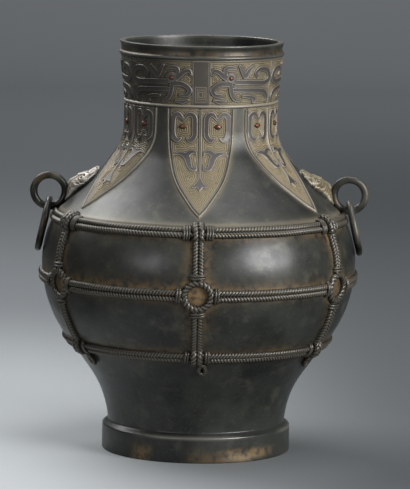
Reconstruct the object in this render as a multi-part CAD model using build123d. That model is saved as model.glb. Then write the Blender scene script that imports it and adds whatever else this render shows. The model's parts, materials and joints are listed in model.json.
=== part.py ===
from build123d import *
import os
from math import atan2, cos, degrees, radians, sin, sqrt

# A cast bronze hu: a round wine jar on a low foot, tied in a net of doubled cords,
# with a beast mask on each shoulder that holds a fixed loop and a free ring.
# Millimetres and degrees. +Z is up, the foot stands on Z = 0, the handles lie on the X axis
# and the front, where an upright cord of the net runs, faces -Y.

os.makedirs("parts", exist_ok=True)

# Height of the widest place above the ground, with the wall's stretches below and above it
belly_height = 166.0
foot_height = 22.0
bevel_height = 3.6
lower_belly_drop = 67.8
upper_belly_rise = 45.8
shoulder_rise = 74.1
neck_rise = 20.7
band_rise = 40.3
rim_rise = 12.0

# Radii of the outer wall, as the belly's radius and the steps in from it
belly_radius = 137.8
edge_set_in = 14.6
flare_set_in = 23.2
waist_set_in = 36.7
foot_step = 4.9
neck_radius = 66.2
band_flare = 4.1
rim_flare = 1.3

# Slopes of the wall, from the vertical, and how long each slope holds before it turns
waist_lean = 4.0
flare_reach = 24.0
shoulder_lean = 50.0
shoulder_reach = 34.0
edge_round = 6.0

# Wall, mouth, mouldings and bottom
wall = 3.0
lip_thickness = 4.8
mouth_depth = 13.0
lid_ledge = 2.0
bead_radius = 1.4
moulding_radius = 1.8
rim_hollow = 0.5
plate_thickness = 4.0
plate_ledge = 2.5
plate_top = 20.0

# Clearances
seat_gap = 0.15
plate_clearance = 0.1
tenon_clearance = 0.1
ring_clearance = 0.35

# Cords of the net
bays = 6
front_azimuth = -90.0
cord_radius = 3.05
cord_sink = 2.4
shoulder_strap_drop = 5.5
belly_strap_drop = 12.0

# Wrapped ring and its four bindings where the belly strap is crossed
knot_ring_radius = 11.25
knot_ring_tube = 3.25
binding_width = 14.0
binding_length = 5.0
binding_height = 4.9
binding_lap = 0.6

# Knots on the shoulder and lower straps, and the drop loop under each lower knot
knot_width = 14.4
knot_length = 16.4
knot_height = 6.2
drop_width = 8.0
drop_length = 13.0
drop_eye_width = 3.2
drop_eye_length = 7.6
drop_thickness = 3.2
drop_lap = 1.6

# Blades hanging from the neck
blade_proud = 0.65
blade_rim_width = 1.7
blade_half_width = 29.0
blade_taper = 49.2
blade_tip_rise = 3.6
blade_top_gap = 0.6
blade_belly = 2.6

# Raised figures: facing dragons on the band, and beast faces on the blades
figure_width = 3.6
ridge_width = 2.4
dragon_proud = 1.1
face_proud = 1.4
dragon_pairs = 3
dragon_head_radius = 4.6
band_edge_gap = 1.2

# Half of a dragon pair, as bars through points: degrees round from the pair's middle
# and hundredths of the band's height
dragon_bars = [
    [(19.5, 54), (15.5, 61), (12.3, 73), (8.7, 76)],
    [(21.3, 47), (15.1, 48), (10.4, 42), (8.2, 34), (10.4, 25), (15.5, 24)],
    [(17.2, 67), (17.3, 81), (24.5, 82)],
    [(28.2, 86), (32.9, 66), (38.6, 85)],
    [(25.5, 53), (52.0, 50), (57.2, 60), (54.5, 76), (47.0, 79), (42.8, 71)],
    [(24.8, 37), (47.0, 34), (55.8, 21), (55.4, 10)],
    [(21.5, 46), (22.5, 30), (28.5, 13)],
]
# Half of a blade's face, as bars through points: hundredths of the blade's half width and of its drop
face_bars = [
    [(48, 9.2), (66, 5.5), (80, 9.5), (82, 18.5), (78, 27), (65, 30), (56, 27.6)],
    [(48, 9.2), (33, 5.5), (19, 9.5), (17, 18.5), (19, 27), (31, 30), (41, 27.6)],
    [(76, 44), (58, 42.4), (41, 44), (34, 49), (31, 53.5), (21, 56.8), (12, 54.5)],
]
ridge_bars = [[(0, 3), (0, 66)], [(-22, 73.4), (0, 66), (22, 73.4)]]

# Copper eyes set in the blades and in the dragon band
eye_radius = 2.9
eye_dome = 1.6
eye_shank_radius = 1.2
eye_shank_length = 2.2
eye_clearance = 0.1
blade_eye_drop = 17.0
blade_eye_turn = 13.0
dragon_eye_rise = 24.8
dragon_eye_turn = 21.6
dragon_eye_radius = 2.2

# Handles: mask, loop and ring
mask_rise = 19.6
mask_width = 36.0
mask_jaw_width = 23.0
mask_length = 36.0
mask_thickness = 5.6
mask_corner = 4.0
brow_radius = 3.8
brow_up = 4.5
brow_length = 30.0
horn_radius = 6.0
horn_height = 9.0
horn_up = 11.5
horn_apart = 22.0
horn_round = 1.8
mask_eye_radius = 3.8
mask_eye_down = 3.0
mask_eye_apart = 17.0
snout_radius = 7.2
snout_side_radius = 5.0
tenon_radius = 4.0
loop_radius = 13.8
loop_tube = 3.3
loop_reach = 8.6
loop_rise = 14.2
ring_radius = 22.0
ring_tube = 2.85
ring_rest_gap = 0.6

# Heights and radii that follow from the sizes above
bevel_z = foot_height + bevel_height
flare_z = belly_height - lower_belly_drop
edge_z = belly_height + upper_belly_rise
edge_radius = belly_radius - edge_set_in
flare_radius = belly_radius - flare_set_in
waist_radius = flare_radius - waist_set_in
foot_radius = waist_radius + foot_step


def slope(lean):
    # Unit direction going up the wall, leaning outward by this angle from the vertical
    return Vector(sin(radians(lean)), 0, cos(radians(lean)))


def outward(direction):
    # Outward normal of a wall that runs up in this direction
    return Vector(direction.Z, 0, -direction.X)


def join_of_two_arcs(start, start_slope, end, end_slope, reach):
    # The point, and its direction, where two tangent arcs between the ends meet
    span = end - start
    rest = span.dot(span) - 2 * reach * span.dot(start_slope)
    other_reach = rest / (2 * span.dot(end_slope) + 2 * reach * (1 - start_slope.dot(end_slope)))
    low_corner = start + start_slope * reach
    high_corner = end - end_slope * other_reach
    share = reach / (reach + other_reach)
    return low_corner + (high_corner - low_corner) * share, (high_corner - low_corner).normalized()


def wall_stations():
    # Points of the outer wall from the waist to the neck, each with its direction, joined by arcs
    waist = Vector(waist_radius, 0, bevel_z)
    flare = Vector(flare_radius, 0, flare_z)
    belly = Vector(belly_radius, 0, belly_height)
    edge = Vector(edge_radius, 0, edge_z)
    flare_slope = slope(2 * degrees(atan2(flare_set_in, lower_belly_drop)))
    edge_slope = slope(-2 * degrees(atan2(edge_set_in, upper_belly_rise)))
    shoulder_slope = slope(-shoulder_lean)
    crest = edge + (outward(shoulder_slope) - outward(edge_slope)) * edge_round
    neck = Vector(neck_radius, 0, crest.Z + shoulder_rise)
    flare_join = join_of_two_arcs(waist, slope(waist_lean), flare, flare_slope, flare_reach)
    shoulder_join = join_of_two_arcs(crest, shoulder_slope, neck, slope(0), shoulder_reach)
    return [
        (waist, slope(waist_lean)),
        flare_join,
        (flare, flare_slope),
        (belly, slope(0)),
        (edge, edge_slope),
        (crest, shoulder_slope),
        shoulder_join,
        (neck, slope(0)),
    ]


stations = wall_stations()
crest_z = stations[5][0].Z
neck_z = stations[-1][0].Z
bead_z = neck_z + neck_rise
rim_z = bead_z + band_rise
jar_height = rim_z + rim_rise
band_top_radius = neck_radius + band_flare
rim_radius = band_top_radius + rim_flare
mouth_radius = rim_radius - lip_thickness


def arc_centre(start, direction, end):
    # Centre of the arc that leaves start in this direction and passes through end
    span = end - start
    normal = outward(direction)
    return start + normal * (span.dot(span) / (2 * span.dot(normal)))


def wall_seat(height):
    # Point of the outer wall at this height, with its outward normal
    for (start, direction), (end, _) in zip(stations, stations[1:]):
        if start.Z <= height <= end.Z:
            centre = arc_centre(start, direction, end)
            arc_radius = (start - centre).length
            bulges = (start - centre).dot(outward(direction)) > 0
            side = 1 if bulges else -1
            reach = side * sqrt(arc_radius**2 - (height - centre.Z) ** 2)
            point = Vector(centre.X + reach, 0, height)
            return point, (point - centre).normalized() * side
    return Vector(neck_radius, 0, height), Vector(1, 0, 0)


def seat_plane(height):
    # Plane on the wall over +X: local X runs sideways, local Y up the wall, local Z outward
    point, normal = wall_seat(height)
    return Plane(origin=point, x_dir=(0, 1, 0), z_dir=normal)


def around(azimuth, shape):
    # The shape turned about the vessel's axis, from +X to this azimuth
    return Rot(0, 0, azimuth) * shape


def bay_azimuths():
    # Azimuths of the upright cords, starting at the front
    return [front_azimuth + bay * 360 / bays for bay in range(bays)]


def wall_curve(offset):
    # Edges of the wall from waist to neck, moved outward by the offset
    points = [point + outward(direction) * offset for point, direction in stations]
    edges = []
    for index, (_, direction) in enumerate(stations[:-1]):
        edges.append(TangentArc(points[index], points[index + 1], tangent=direction))
    return edges, points


def chain(points):
    # Straight edges through these points
    return [Line(first, second) for first, second in zip(points, points[1:])]


def rz(radius, height):
    return Vector(radius, 0, height)


def wall_core(offset):
    # Solid of everything inside the outer wall between waist and neck, grown by the offset
    edges, points = wall_curve(offset)
    closing = chain([points[-1], rz(0, points[-1].Z), rz(0, points[0].Z), points[0]])
    return revolve(make_face(edges + closing), Axis.Z)


seat_core = wall_core(seat_gap)
cord_apart = 2 * cord_radius + seat_gap
shoulder_strap_z = edge_z - shoulder_strap_drop
belly_strap_z = belly_height - belly_strap_drop
lower_strap_z = flare_z
knot_reach = knot_ring_radius + knot_ring_tube + binding_length - binding_lap


def body_outline():
    # Section of the jar: up the outside, over the lip and down the inside
    outer, outer_points = wall_curve(0)
    inner, inner_points = wall_curve(-wall)
    plate_bore = inner_points[0].X + plate_ledge
    moulding_top = rim_z + 2 * moulding_radius
    bead_low = rz(neck_radius, bead_z - bead_radius)
    bead_high = rz(neck_radius, bead_z + bead_radius)
    moulding_low = rz(band_top_radius, rim_z)
    moulding_crown = rz(band_top_radius + moulding_radius, rim_z + moulding_radius)
    moulding_high = rz(band_top_radius, moulding_top)
    lip = rz(rim_radius, jar_height)
    hollow = rz((band_top_radius + rim_radius) / 2 - rim_hollow, (moulding_top + jar_height) / 2)
    foot = chain([
        rz(plate_bore, 0),
        rz(foot_radius, 0),
        rz(foot_radius, foot_height),
        outer_points[0],
    ])
    neck = [
        Line(outer_points[-1], bead_low),
        ThreePointArc(bead_low, rz(neck_radius + bead_radius, bead_z), bead_high),
        Line(bead_high, moulding_low),
        ThreePointArc(moulding_low, moulding_crown, moulding_high),
        ThreePointArc(moulding_high, hollow, lip),
    ]
    mouth_floor = jar_height - mouth_depth
    inside = chain([
        lip,
        rz(mouth_radius, jar_height),
        rz(mouth_radius, mouth_floor),
        rz(mouth_radius - lid_ledge, mouth_floor),
        rz(neck_radius - wall, bead_z),
        inner_points[-1],
    ])
    bottom = chain([
        inner_points[0],
        rz(inner_points[0].X, plate_top),
        rz(plate_bore, plate_top),
        rz(plate_bore, 0),
    ])
    return make_face(foot + outer + neck + inside + inner + bottom)


def bar(points, width):
    # Prism of a bent bar of this width, drawn on the YZ plane and run out along +X
    half = width / 2
    steps = [(second - first).normalized() for first, second in zip(points, points[1:])]
    turns = [steps[0]] + [(a + b) / (1 + a.dot(b)) for a, b in zip(steps, steps[1:])] + [steps[-1]]
    offsets = [Vector(0, -turn.Z, turn.Y) * half for turn in turns]
    left = [point + offset for point, offset in zip(points, offsets)]
    right = [point - offset for point, offset in zip(points, offsets)]
    outline = Polyline(*left, *reversed(right), close=True)
    return extrude(make_face(outline), amount=belly_radius, dir=(1, 0, 0))


def band_line():
    # Lower and upper end of the dragon band's outer face
    return rz(neck_radius, bead_z + bead_radius), rz(band_top_radius, rim_z)


def dragon_eye_point():
    low, high = band_line()
    return low + (high - low) * (dragon_eye_rise / band_rise)


def band_skin():
    # Sleeve on the dragon band, from inside the wall to the height of the figures
    low, high = band_line()
    up = (high - low).normalized()
    low, high = low + up * band_edge_gap, high - up * band_edge_gap
    inner, outer = outward(up) * -wall / 2, outward(up) * dragon_proud
    section = chain([low + inner, low + outer, high + outer, high + inner, low + inner])
    return revolve(make_face(section), Axis.Z)


def dragons():
    # Raised bars and round heads of the facing dragons, cast in one with the band
    skin = band_skin()
    middle_radius = (neck_radius + band_top_radius) / 2
    head_plane = Plane(origin=(0, 0, dragon_eye_point().Z), x_dir=(0, 1, 0), z_dir=(1, 0, 0))
    head = extrude(head_plane * Circle(dragon_head_radius), amount=belly_radius)
    pieces = []
    for side in (-1, 1):
        pieces.append((side * dragon_eye_turn, skin & head))
        for stroke in dragon_bars:
            middle = sum(turn for turn, _ in stroke) / len(stroke)
            points = []
            for turn, share in stroke:
                sideways = middle_radius * sin(radians(side * (turn - middle)))
                points.append(Vector(0, sideways, bead_z + band_rise * share / 100))
            pieces.append((side * middle, skin & bar(points, figure_width)))
    placed = []
    for pair in range(dragon_pairs):
        for turn, piece in pieces:
            placed.append(around(front_azimuth + pair * 360 / dragon_pairs + turn, piece))
    return placed


def blade_skin(proud):
    # Sleeve on the neck and shoulder, from inside the wall to this height over it
    low, low_points = wall_curve(-wall / 2)
    high, high_points = wall_curve(proud)
    top = bead_z - bead_radius - blade_top_gap
    low_end, high_end = low_points[-1], high_points[-1]
    upper_end = chain([low_end, rz(low_end.X, top), rz(high_end.X, top), high_end])
    lower_end = chain([high_points[0], low_points[0]])
    return revolve(make_face(low + upper_end + high + lower_end), Axis.Z)


def blades():
    # Pointed blades on the neck and shoulder, with a raised rim and a beast face, cast in one with the wall
    top = bead_z - bead_radius - blade_top_gap
    tip = crest_z + blade_tip_rise
    side_end = tip + blade_taper
    bulge_height = (side_end + tip) / 2
    bulge = blade_half_width / 2 + blade_belly
    outline = [
        Line((0, -blade_half_width, top), (0, blade_half_width, top)),
        Line((0, blade_half_width, top), (0, blade_half_width, side_end)),
        ThreePointArc((0, blade_half_width, side_end), (0, bulge, bulge_height), (0, 0, tip)),
        ThreePointArc((0, 0, tip), (0, -bulge, bulge_height), (0, -blade_half_width, side_end)),
        Line((0, -blade_half_width, side_end), (0, -blade_half_width, top)),
    ]
    tongue = make_face(outline)
    field = offset(tongue, -blade_rim_width)
    pad = blade_skin(blade_proud) & extrude(tongue, amount=belly_radius, dir=(1, 0, 0))
    rim = extrude(tongue - field, amount=belly_radius, dir=(1, 0, 0))
    raised_bars = [(stroke, side, figure_width) for stroke in face_bars for side in (-1, 1)]
    raised_bars += [(stroke, 1, ridge_width) for stroke in ridge_bars]
    skin = blade_skin(face_proud)
    pieces = [pad, skin & rim]
    for stroke, side, width in raised_bars:
        points = []
        for share, drop in stroke:
            sideways = side * blade_half_width * share / 100
            points.append(Vector(0, sideways, top - (top - tip) * drop / 100))
        pieces.append(skin & bar(points, width))
    return [around(azimuth, piece) for azimuth in bay_azimuths() for piece in pieces]


def eye_stud(head_radius):
    # Domed stud on local XY, its shank down local Z
    rise = eye_dome
    ball = (head_radius**2 + rise**2) / (2 * rise)
    half_way = atan2(head_radius, ball) / 2
    ball_centre = seat_gap + rise - ball
    outline = [
        Line((0, 0, -eye_shank_length), (eye_shank_radius, 0, -eye_shank_length)),
        Line((eye_shank_radius, 0, -eye_shank_length), (eye_shank_radius, 0, seat_gap)),
        Line((eye_shank_radius, 0, seat_gap), (head_radius, 0, seat_gap)),
        ThreePointArc(
            (head_radius, 0, seat_gap),
            (ball * sin(half_way), 0, ball_centre + ball * cos(half_way)),
            (0, 0, seat_gap + rise),
        ),
        Line((0, 0, seat_gap + rise), (0, 0, -eye_shank_length)),
    ]
    return revolve(make_face(outline), Axis.Z)


def eye_seats():
    # Planes of the blade eyes and of the dragon eyes, local Z outward
    blade_height = bead_z - blade_eye_drop
    blade_point, blade_normal = wall_seat(blade_height)
    blade_seat = blade_point + blade_normal * blade_proud
    blade_plane = Plane(origin=blade_seat, x_dir=(0, 1, 0), z_dir=blade_normal)
    blade_places = []
    for azimuth in bay_azimuths():
        for side in (-1, 1):
            blade_places.append(Rot(0, 0, azimuth + side * blade_eye_turn) * blade_plane.location)
    band_low, band_high = band_line()
    band_slope = (band_high - band_low).normalized()
    band_plane = Plane(origin=dragon_eye_point(), x_dir=(0, 1, 0), z_dir=outward(band_slope))
    dragon_places = []
    for pair in range(dragon_pairs):
        for side in (-1, 1):
            turn = front_azimuth + pair * 360 / dragon_pairs + side * dragon_eye_turn
            dragon_places.append(Rot(0, 0, turn) * band_plane.location)
    return blade_places, dragon_places


blade_places, dragon_places = eye_seats()

# Handle geometry on the +X side; the other handle is the same turned half round the axis
mask_plane = seat_plane(crest_z + mask_rise)
loop_centre = rz(edge_radius + loop_reach, edge_z + loop_rise)
pivot = loop_centre - Vector(0, 0, loop_radius - loop_tube - ring_tube - ring_clearance)
rest_reach = belly_radius + ring_rest_gap + ring_tube - pivot.X
ring_lean = degrees(atan2(rest_reach, sqrt((2 * ring_radius) ** 2 - rest_reach**2)))
handle_turns = {"left": 180, "right": 0}


def loop_torus(grow):
    # Fixed loop standing in the plane of the vessel's axis
    return Plane(origin=loop_centre, z_dir=(0, 1, 0)) * Torus(loop_radius, loop_tube + grow)


def hanging_ring():
    # Free ring through the loop, hanging down and out to rest by the belly
    direction = slope(-ring_lean) * -1
    centre = pivot + direction * ring_radius
    return Plane(origin=centre, x_dir=(0, 1, 0), z_dir=outward(direction)) * Torus(ring_radius, ring_tube)


def tenon(grow, past):
    # Peg behind the mask, through the wall and this far past its inner face
    depth = wall + past
    peg = Cylinder(tenon_radius + grow, depth + brow_radius, align=(Align.CENTER, Align.CENTER, Align.MIN))
    return mask_plane * Pos(0, 0, -depth) * peg


def beast_mask():
    # Beast head on the shoulder: shield face, brow, curled horns, eyes and a snout round the loop
    half, jaw, long = mask_width / 2, mask_jaw_width / 2, mask_length / 2
    shield = Polyline((-half, long, 0), (half, long, 0), (jaw, -long, 0), (-jaw, -long, 0), close=True)
    face = make_face(shield)
    face = fillet(face.vertices(), mask_corner)
    head = Pos(0, 0, -wall) * extrude(face, amount=mask_thickness + wall)
    head += Pos(0, brow_up, mask_thickness) * Rot(0, 90, 0) * Cylinder(brow_radius, brow_length)
    for side in (-1, 1):
        horn = Cylinder(horn_radius, horn_height, align=(Align.CENTER, Align.CENTER, Align.MIN))
        horn = fillet(horn.edges().sort_by(Axis.Z)[-1], horn_round)
        head += Pos(side * horn_apart / 2, horn_up, 0) * horn
        head += Pos(side * mask_eye_apart / 2, -mask_eye_down, mask_thickness) * Sphere(mask_eye_radius)
    hold = mask_plane.to_local_coords(loop_centre - Vector(loop_radius, 0, 0))
    head += Pos(hold.X, hold.Y, hold.Z) * Sphere(snout_radius)
    nose_root = Vector(0, -mask_eye_down, mask_thickness)
    bridge = Plane(origin=nose_root, z_dir=hold - nose_root)
    bridge_length = (hold - nose_root).length
    nose = Cylinder(snout_side_radius, bridge_length, align=(Align.CENTER, Align.CENTER, Align.MIN))
    head += bridge * nose
    return (mask_plane * head - seat_core - loop_torus(seat_gap)) + tenon(0, 0)


def vessel_body():
    body = revolve(body_outline(), Axis.Z)
    body = body + blades() + dragons()
    sockets = []
    for place in blade_places + dragon_places:
        depth = eye_shank_length + eye_clearance
        hole = Cylinder(eye_shank_radius + eye_clearance, 2 * depth)
        sockets.append(place * hole)
    seat = Cylinder(
        dragon_eye_radius + eye_clearance, 2 * dragon_proud, align=(Align.CENTER, Align.CENTER, Align.MIN)
    )
    sockets += [place * seat for place in dragon_places]
    for turn in handle_turns.values():
        sockets.append(around(turn, tenon(tenon_clearance, wall)))
    return body - sockets


def base_plate():
    radius = waist_radius - wall * outward(slope(waist_lean)).X + plate_ledge - plate_clearance
    low = plate_top - plate_thickness
    return Pos(0, 0, low) * Cylinder(
        radius, plate_thickness - plate_clearance, align=(Align.CENTER, Align.CENTER, Align.MIN)
    )


def cord_centres(height):
    # Centres of the two cords of a strap laid on the wall at this height
    point, normal = wall_seat(height)
    up = Vector(-normal.Z, 0, normal.X)
    lift = normal * (cord_radius - cord_sink)
    return [point + lift + up * (side * cord_apart / 2) for side in (-1, 1)]


def strap_section(height, grow):
    # Two round cords side by side, cut to the wall
    cord = Circle(cord_radius + grow)
    rounds = [Plane(origin=centre, z_dir=(0, -1, 0)) * cord for centre in cord_centres(height)]
    edges, points = wall_curve(seat_gap)
    closing = chain([points[-1], rz(0, points[-1].Z), rz(0, points[0].Z), points[0]])
    return rounds[0] + rounds[1] - make_face(edges + closing)


def ring_strap(height):
    # Strap that runs all round, under the knots
    return revolve(strap_section(height, 0), Axis.Z)


def belly_strap():
    # Strap in as many lengths as bays, each from one wrapped ring's binding to the next
    section = strap_section(belly_strap_z, 0)
    half_turn = degrees((knot_reach + seat_gap) / wall_seat(belly_strap_z)[0].X)
    length = revolve(section, Axis.Z, revolution_arc=360 / bays - 2 * half_turn)
    return [around(azimuth + half_turn, length) for azimuth in bay_azimuths()]


def upright_cord(low, high):
    # Doubled cord up one arc of the wall over +X: the arc's centre is where the normals of both ends meet
    low_point, low_normal = wall_seat(low)
    high_point, high_normal = wall_seat(high)
    turn = high_normal.get_angle(low_normal)
    chord = (high_point - low_point).length
    arc_radius = chord / (2 * sin(radians(turn) / 2))
    centre = low_point - low_normal * arc_radius
    plane = Plane(origin=low_point, x_dir=(0, 1, 0), z_dir=Vector(-low_normal.Z, 0, low_normal.X))
    out = plane.to_local_coords(low_point + low_normal).Y
    lift = cord_radius - cord_sink
    rounds = [Pos(side * cord_apart / 2, out * lift) * Circle(cord_radius) for side in (-1, 1)]
    cut = 4 * cord_radius
    section = rounds[0] + rounds[1] - Pos(0, out * (seat_gap - cut / 2)) * Rectangle(2 * cut, cut)
    return revolve(plane * section, Axis(centre, (0, -1, 0)), revolution_arc=turn)


def binding():
    # Cord wound round a strap, next to the wrapped ring, on local +Y
    start = knot_ring_radius + knot_ring_tube - binding_lap
    plane = Plane(origin=(0, start, 0), x_dir=(1, 0, 0), z_dir=(0, 1, 0))
    return extrude(plane * Ellipse(binding_width / 2, binding_height), amount=binding_length)


def knot_ring():
    # Wrapped ring with its four bindings
    knot = Pos(0, 0, knot_ring_tube - cord_sink) * Torus(knot_ring_radius, knot_ring_tube)
    for quarter in range(4):
        knot += Rot(0, 0, quarter * 90) * binding()
    return seat_plane(belly_strap_z) * knot - seat_core


def saddle(height):
    # Knot laid over a strap, hollowed by it
    plane = Plane(origin=(-knot_width / 2, 0, 0), x_dir=(0, 1, 0), z_dir=(1, 0, 0))
    block = extrude(plane * Ellipse(knot_length / 2, knot_height), amount=knot_width)
    return seat_plane(height) * block - seat_core


def over_strap(knot, height):
    return knot - revolve(strap_section(height, seat_gap), Axis.Z)


def pendant_knot():
    # Lower knot with the small drop loop that hangs under it
    lean = wall_seat(lower_strap_z)[1]
    drop = (knot_length + drop_length) / 2 - drop_lap
    plane = seat_plane(lower_strap_z - drop * lean.X)
    eye = SlotOverall(drop_eye_length, drop_eye_width, rotation=90)
    loop = SlotOverall(drop_length, drop_width, rotation=90) - eye
    pendant = plane * Pos(0, 0, -wall / 2) * extrude(loop, amount=drop_thickness + wall / 2)
    return over_strap(saddle(lower_strap_z) + (pendant - seat_core), lower_strap_z)


def along_wall(height, distance):
    # Height reached by going this far up the wall, at the slope found half way
    _, normal = wall_seat(height)
    _, middle_normal = wall_seat(height + distance * normal.X / 2)
    return height + distance * middle_normal.X


def make_nodes():
    nodes = {"vessel_body": vessel_body(), "base_plate": base_plate()}
    mask = beast_mask()
    loop = over_strap(loop_torus(0) - seat_core, shoulder_strap_z)
    for side, turn in handle_turns.items():
        nodes[f"{side}_mask"] = around(turn, mask)
        nodes[f"{side}_loop"] = around(turn, loop)
        nodes[f"{side}_ring"] = around(turn, hanging_ring())
    nodes["shoulder_strap"] = ring_strap(shoulder_strap_z)
    nodes["belly_strap"] = Compound(children=belly_strap())
    nodes["lower_strap"] = ring_strap(lower_strap_z)
    clear = knot_length / 2 + seat_gap
    upper = upright_cord(
        along_wall(belly_strap_z, knot_reach + seat_gap),
        along_wall(shoulder_strap_z, -clear),
    )
    lower = upright_cord(
        along_wall(lower_strap_z, clear),
        along_wall(belly_strap_z, -knot_reach - seat_gap),
    )
    pieces = {
        "upper_cord": upper,
        "lower_cord": lower,
        "knot_ring": knot_ring(),
        "shoulder_knot": over_strap(saddle(shoulder_strap_z), shoulder_strap_z),
        "pendant_knot": pendant_knot(),
    }
    for name, piece in pieces.items():
        for bay, azimuth in enumerate(bay_azimuths(), start=1):
            nodes[f"{name}_{bay}"] = around(azimuth, piece)
    blade_eye = eye_stud(eye_radius)
    dragon_eye = eye_stud(dragon_eye_radius)
    nodes["blade_eyes"] = Compound(children=[place * blade_eye for place in blade_places])
    nodes["dragon_eyes"] = Compound(children=[place * dragon_eye for place in dragon_places])
    return nodes


for node, shape in make_nodes().items():
    export_step(shape, f"parts/{node}.step")
print("height", round(jar_height, 1), "mouth radius", round(mouth_radius, 2), "mouth depth", mouth_depth)
print("pivot", round(pivot.X, 2), round(pivot.Z, 2), "ring lean", round(ring_lean, 2))
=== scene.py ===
import json
import math

import bmesh
import bpy
import numpy as np
from mathutils import Matrix, Vector


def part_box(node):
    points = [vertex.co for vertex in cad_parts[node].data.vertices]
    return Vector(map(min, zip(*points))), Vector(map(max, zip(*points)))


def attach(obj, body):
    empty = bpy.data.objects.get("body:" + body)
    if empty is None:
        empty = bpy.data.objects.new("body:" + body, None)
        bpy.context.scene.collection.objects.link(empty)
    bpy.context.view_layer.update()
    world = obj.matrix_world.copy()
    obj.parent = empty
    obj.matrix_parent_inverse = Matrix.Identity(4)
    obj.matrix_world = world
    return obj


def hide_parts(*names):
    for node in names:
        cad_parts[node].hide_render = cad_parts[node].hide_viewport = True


# Bronze hu: the jar's wall with its blades and dragons, the net of cords, the beast handles.
# Lengths in this file are millimetres until gridPiece turns them into metres.
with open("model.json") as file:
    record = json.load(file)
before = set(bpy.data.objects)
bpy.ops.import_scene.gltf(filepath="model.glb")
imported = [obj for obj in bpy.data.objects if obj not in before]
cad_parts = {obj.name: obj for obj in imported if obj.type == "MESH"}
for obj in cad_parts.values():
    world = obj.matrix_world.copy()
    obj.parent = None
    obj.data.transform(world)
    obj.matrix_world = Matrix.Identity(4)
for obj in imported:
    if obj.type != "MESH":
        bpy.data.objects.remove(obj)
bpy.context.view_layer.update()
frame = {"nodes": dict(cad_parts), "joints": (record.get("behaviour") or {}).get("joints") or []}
metres = 0.001

bodyLow, bodyHigh = (np.array(corner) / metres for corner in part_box("vessel_body"))
print("frame loaded, jar height", round(bodyHigh[2], 1))

# the outer wall, as steps from the widest place, which the frame gives
jar = {
    "bellyRadius": bodyHigh[0], "bellyHeight": 166.0,
    "footRadius": 82.8, "footHeight": 22.0, "footRing": 5.6, "bevelHeight": 3.6,
    "waistRadius": 77.9, "waistLean": 4.0, "flareReach": 24.0,
    "flareSetIn": 23.2, "flareDrop": 67.8, "edgeSetIn": 14.6, "edgeRise": 45.8,
    "shoulderLean": 50.0, "shoulderReach": 34.0, "edgeRound": 6.0,
    "neckRadius": 66.2, "neckRise": 20.7, "shoulderRise": 74.1,
    "beadRadius": 1.4, "bandRise": 40.3, "bandFlare": 4.1, "rimRise": 12.0, "rimFlare": 1.3,
    "mouldingRadius": 1.8, "lip": 4.8, "mouthDepth": 13.0, "lidLedge": 2.0, "wall": 3.0, "plateTop": 20.0,
    "unevenness": ((46.0, 0.30), (15.0, 0.09)),   # lump size and height left by the casting
}
frontAzimuth = -math.pi / 2
bays = 6
profileStep = 0.25
farAway = 1e9        # no line is near


# curves and fields

def smoothstep(low, high, value):
    share = np.clip((value - low) / (high - low), 0, 1)
    return share * share * (3 - 2 * share)


def throughPoints(points, steps=10):
    # a smooth line through these points (Catmull-Rom)
    points = np.asarray(points, float)
    ends = np.vstack([2 * points[0] - points[1], points, 2 * points[-1] - points[-2]])
    share = np.linspace(0, 1, steps, endpoint=False)[:, None]
    spans = []
    for before, first, second, after in zip(ends, ends[1:], ends[2:], ends[3:]):
        spans.append(0.5 * (2 * first + (second - before) * share
                            + (2 * before - 5 * first + 4 * second - after) * share ** 2
                            + (3 * first - before - 3 * second + after) * share ** 3))
    return np.vstack(spans + [points[-1:]])


def lineDistance(x, y, line, halfWidths=None):
    # distance to a line of points, or how far outside it where the line has half widths along it
    nearest = np.full(np.shape(x), farAway)
    widths = np.zeros(len(line)) if halfWidths is None else halfWidths
    for index in range(len(line) - 1):
        ax, ay = line[index]
        bx, by = line[index + 1] - line[index]
        share = np.clip(((x - ax) * bx + (y - ay) * by) / max(bx * bx + by * by, 1e-12), 0, 1)
        away = np.hypot(x - ax - share * bx, y - ay - share * by)
        nearest = np.minimum(nearest, away - widths[index] - share * (widths[index + 1] - widths[index]))
    return nearest


def strokeDistance(x, y, points, widths):
    # how far outside a tapering stroke a place is, below zero inside it
    line = throughPoints(points, 6)
    along = np.linspace(0, len(widths) - 1, len(line))
    return lineDistance(x, y, line, np.interp(along, range(len(widths)), widths))


def lumps(points, size, seed):
    # smooth random field from -1 to 1, with lumps of this size
    side = 48       # cells before the field repeats
    lattice = np.random.default_rng(seed).uniform(-1, 1, (side, side, side))
    cell = np.floor(points / size).astype(int)
    share = points / size - cell
    share = share * share * (3 - 2 * share)
    total = 0
    for corner in np.ndindex(2, 2, 2):
        weight = np.prod([share[..., k] if corner[k] else 1 - share[..., k] for k in range(3)], axis=0)
        i, j, k = ((cell[..., axis] + corner[axis]) % side for axis in range(3))
        total = total + weight * lattice[i, j, k]
    return total


# the wall's profile: tangent arcs from the waist to the neck bead

def leaning(degrees):
    return np.array([math.sin(math.radians(degrees)), math.cos(math.radians(degrees))])


def outward(direction):
    return np.array([direction[1], -direction[0]])


def meetingOfArcs(start, startDirection, end, endDirection, reach):
    span = end - start
    rest = span @ span - 2 * reach * (span @ startDirection)
    otherReach = rest / (2 * (span @ endDirection) + 2 * reach * (1 - startDirection @ endDirection))
    low, high = start + startDirection * reach, end - endDirection * otherReach
    return low + (high - low) * reach / (reach + otherReach), (high - low) / np.linalg.norm(high - low)


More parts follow.
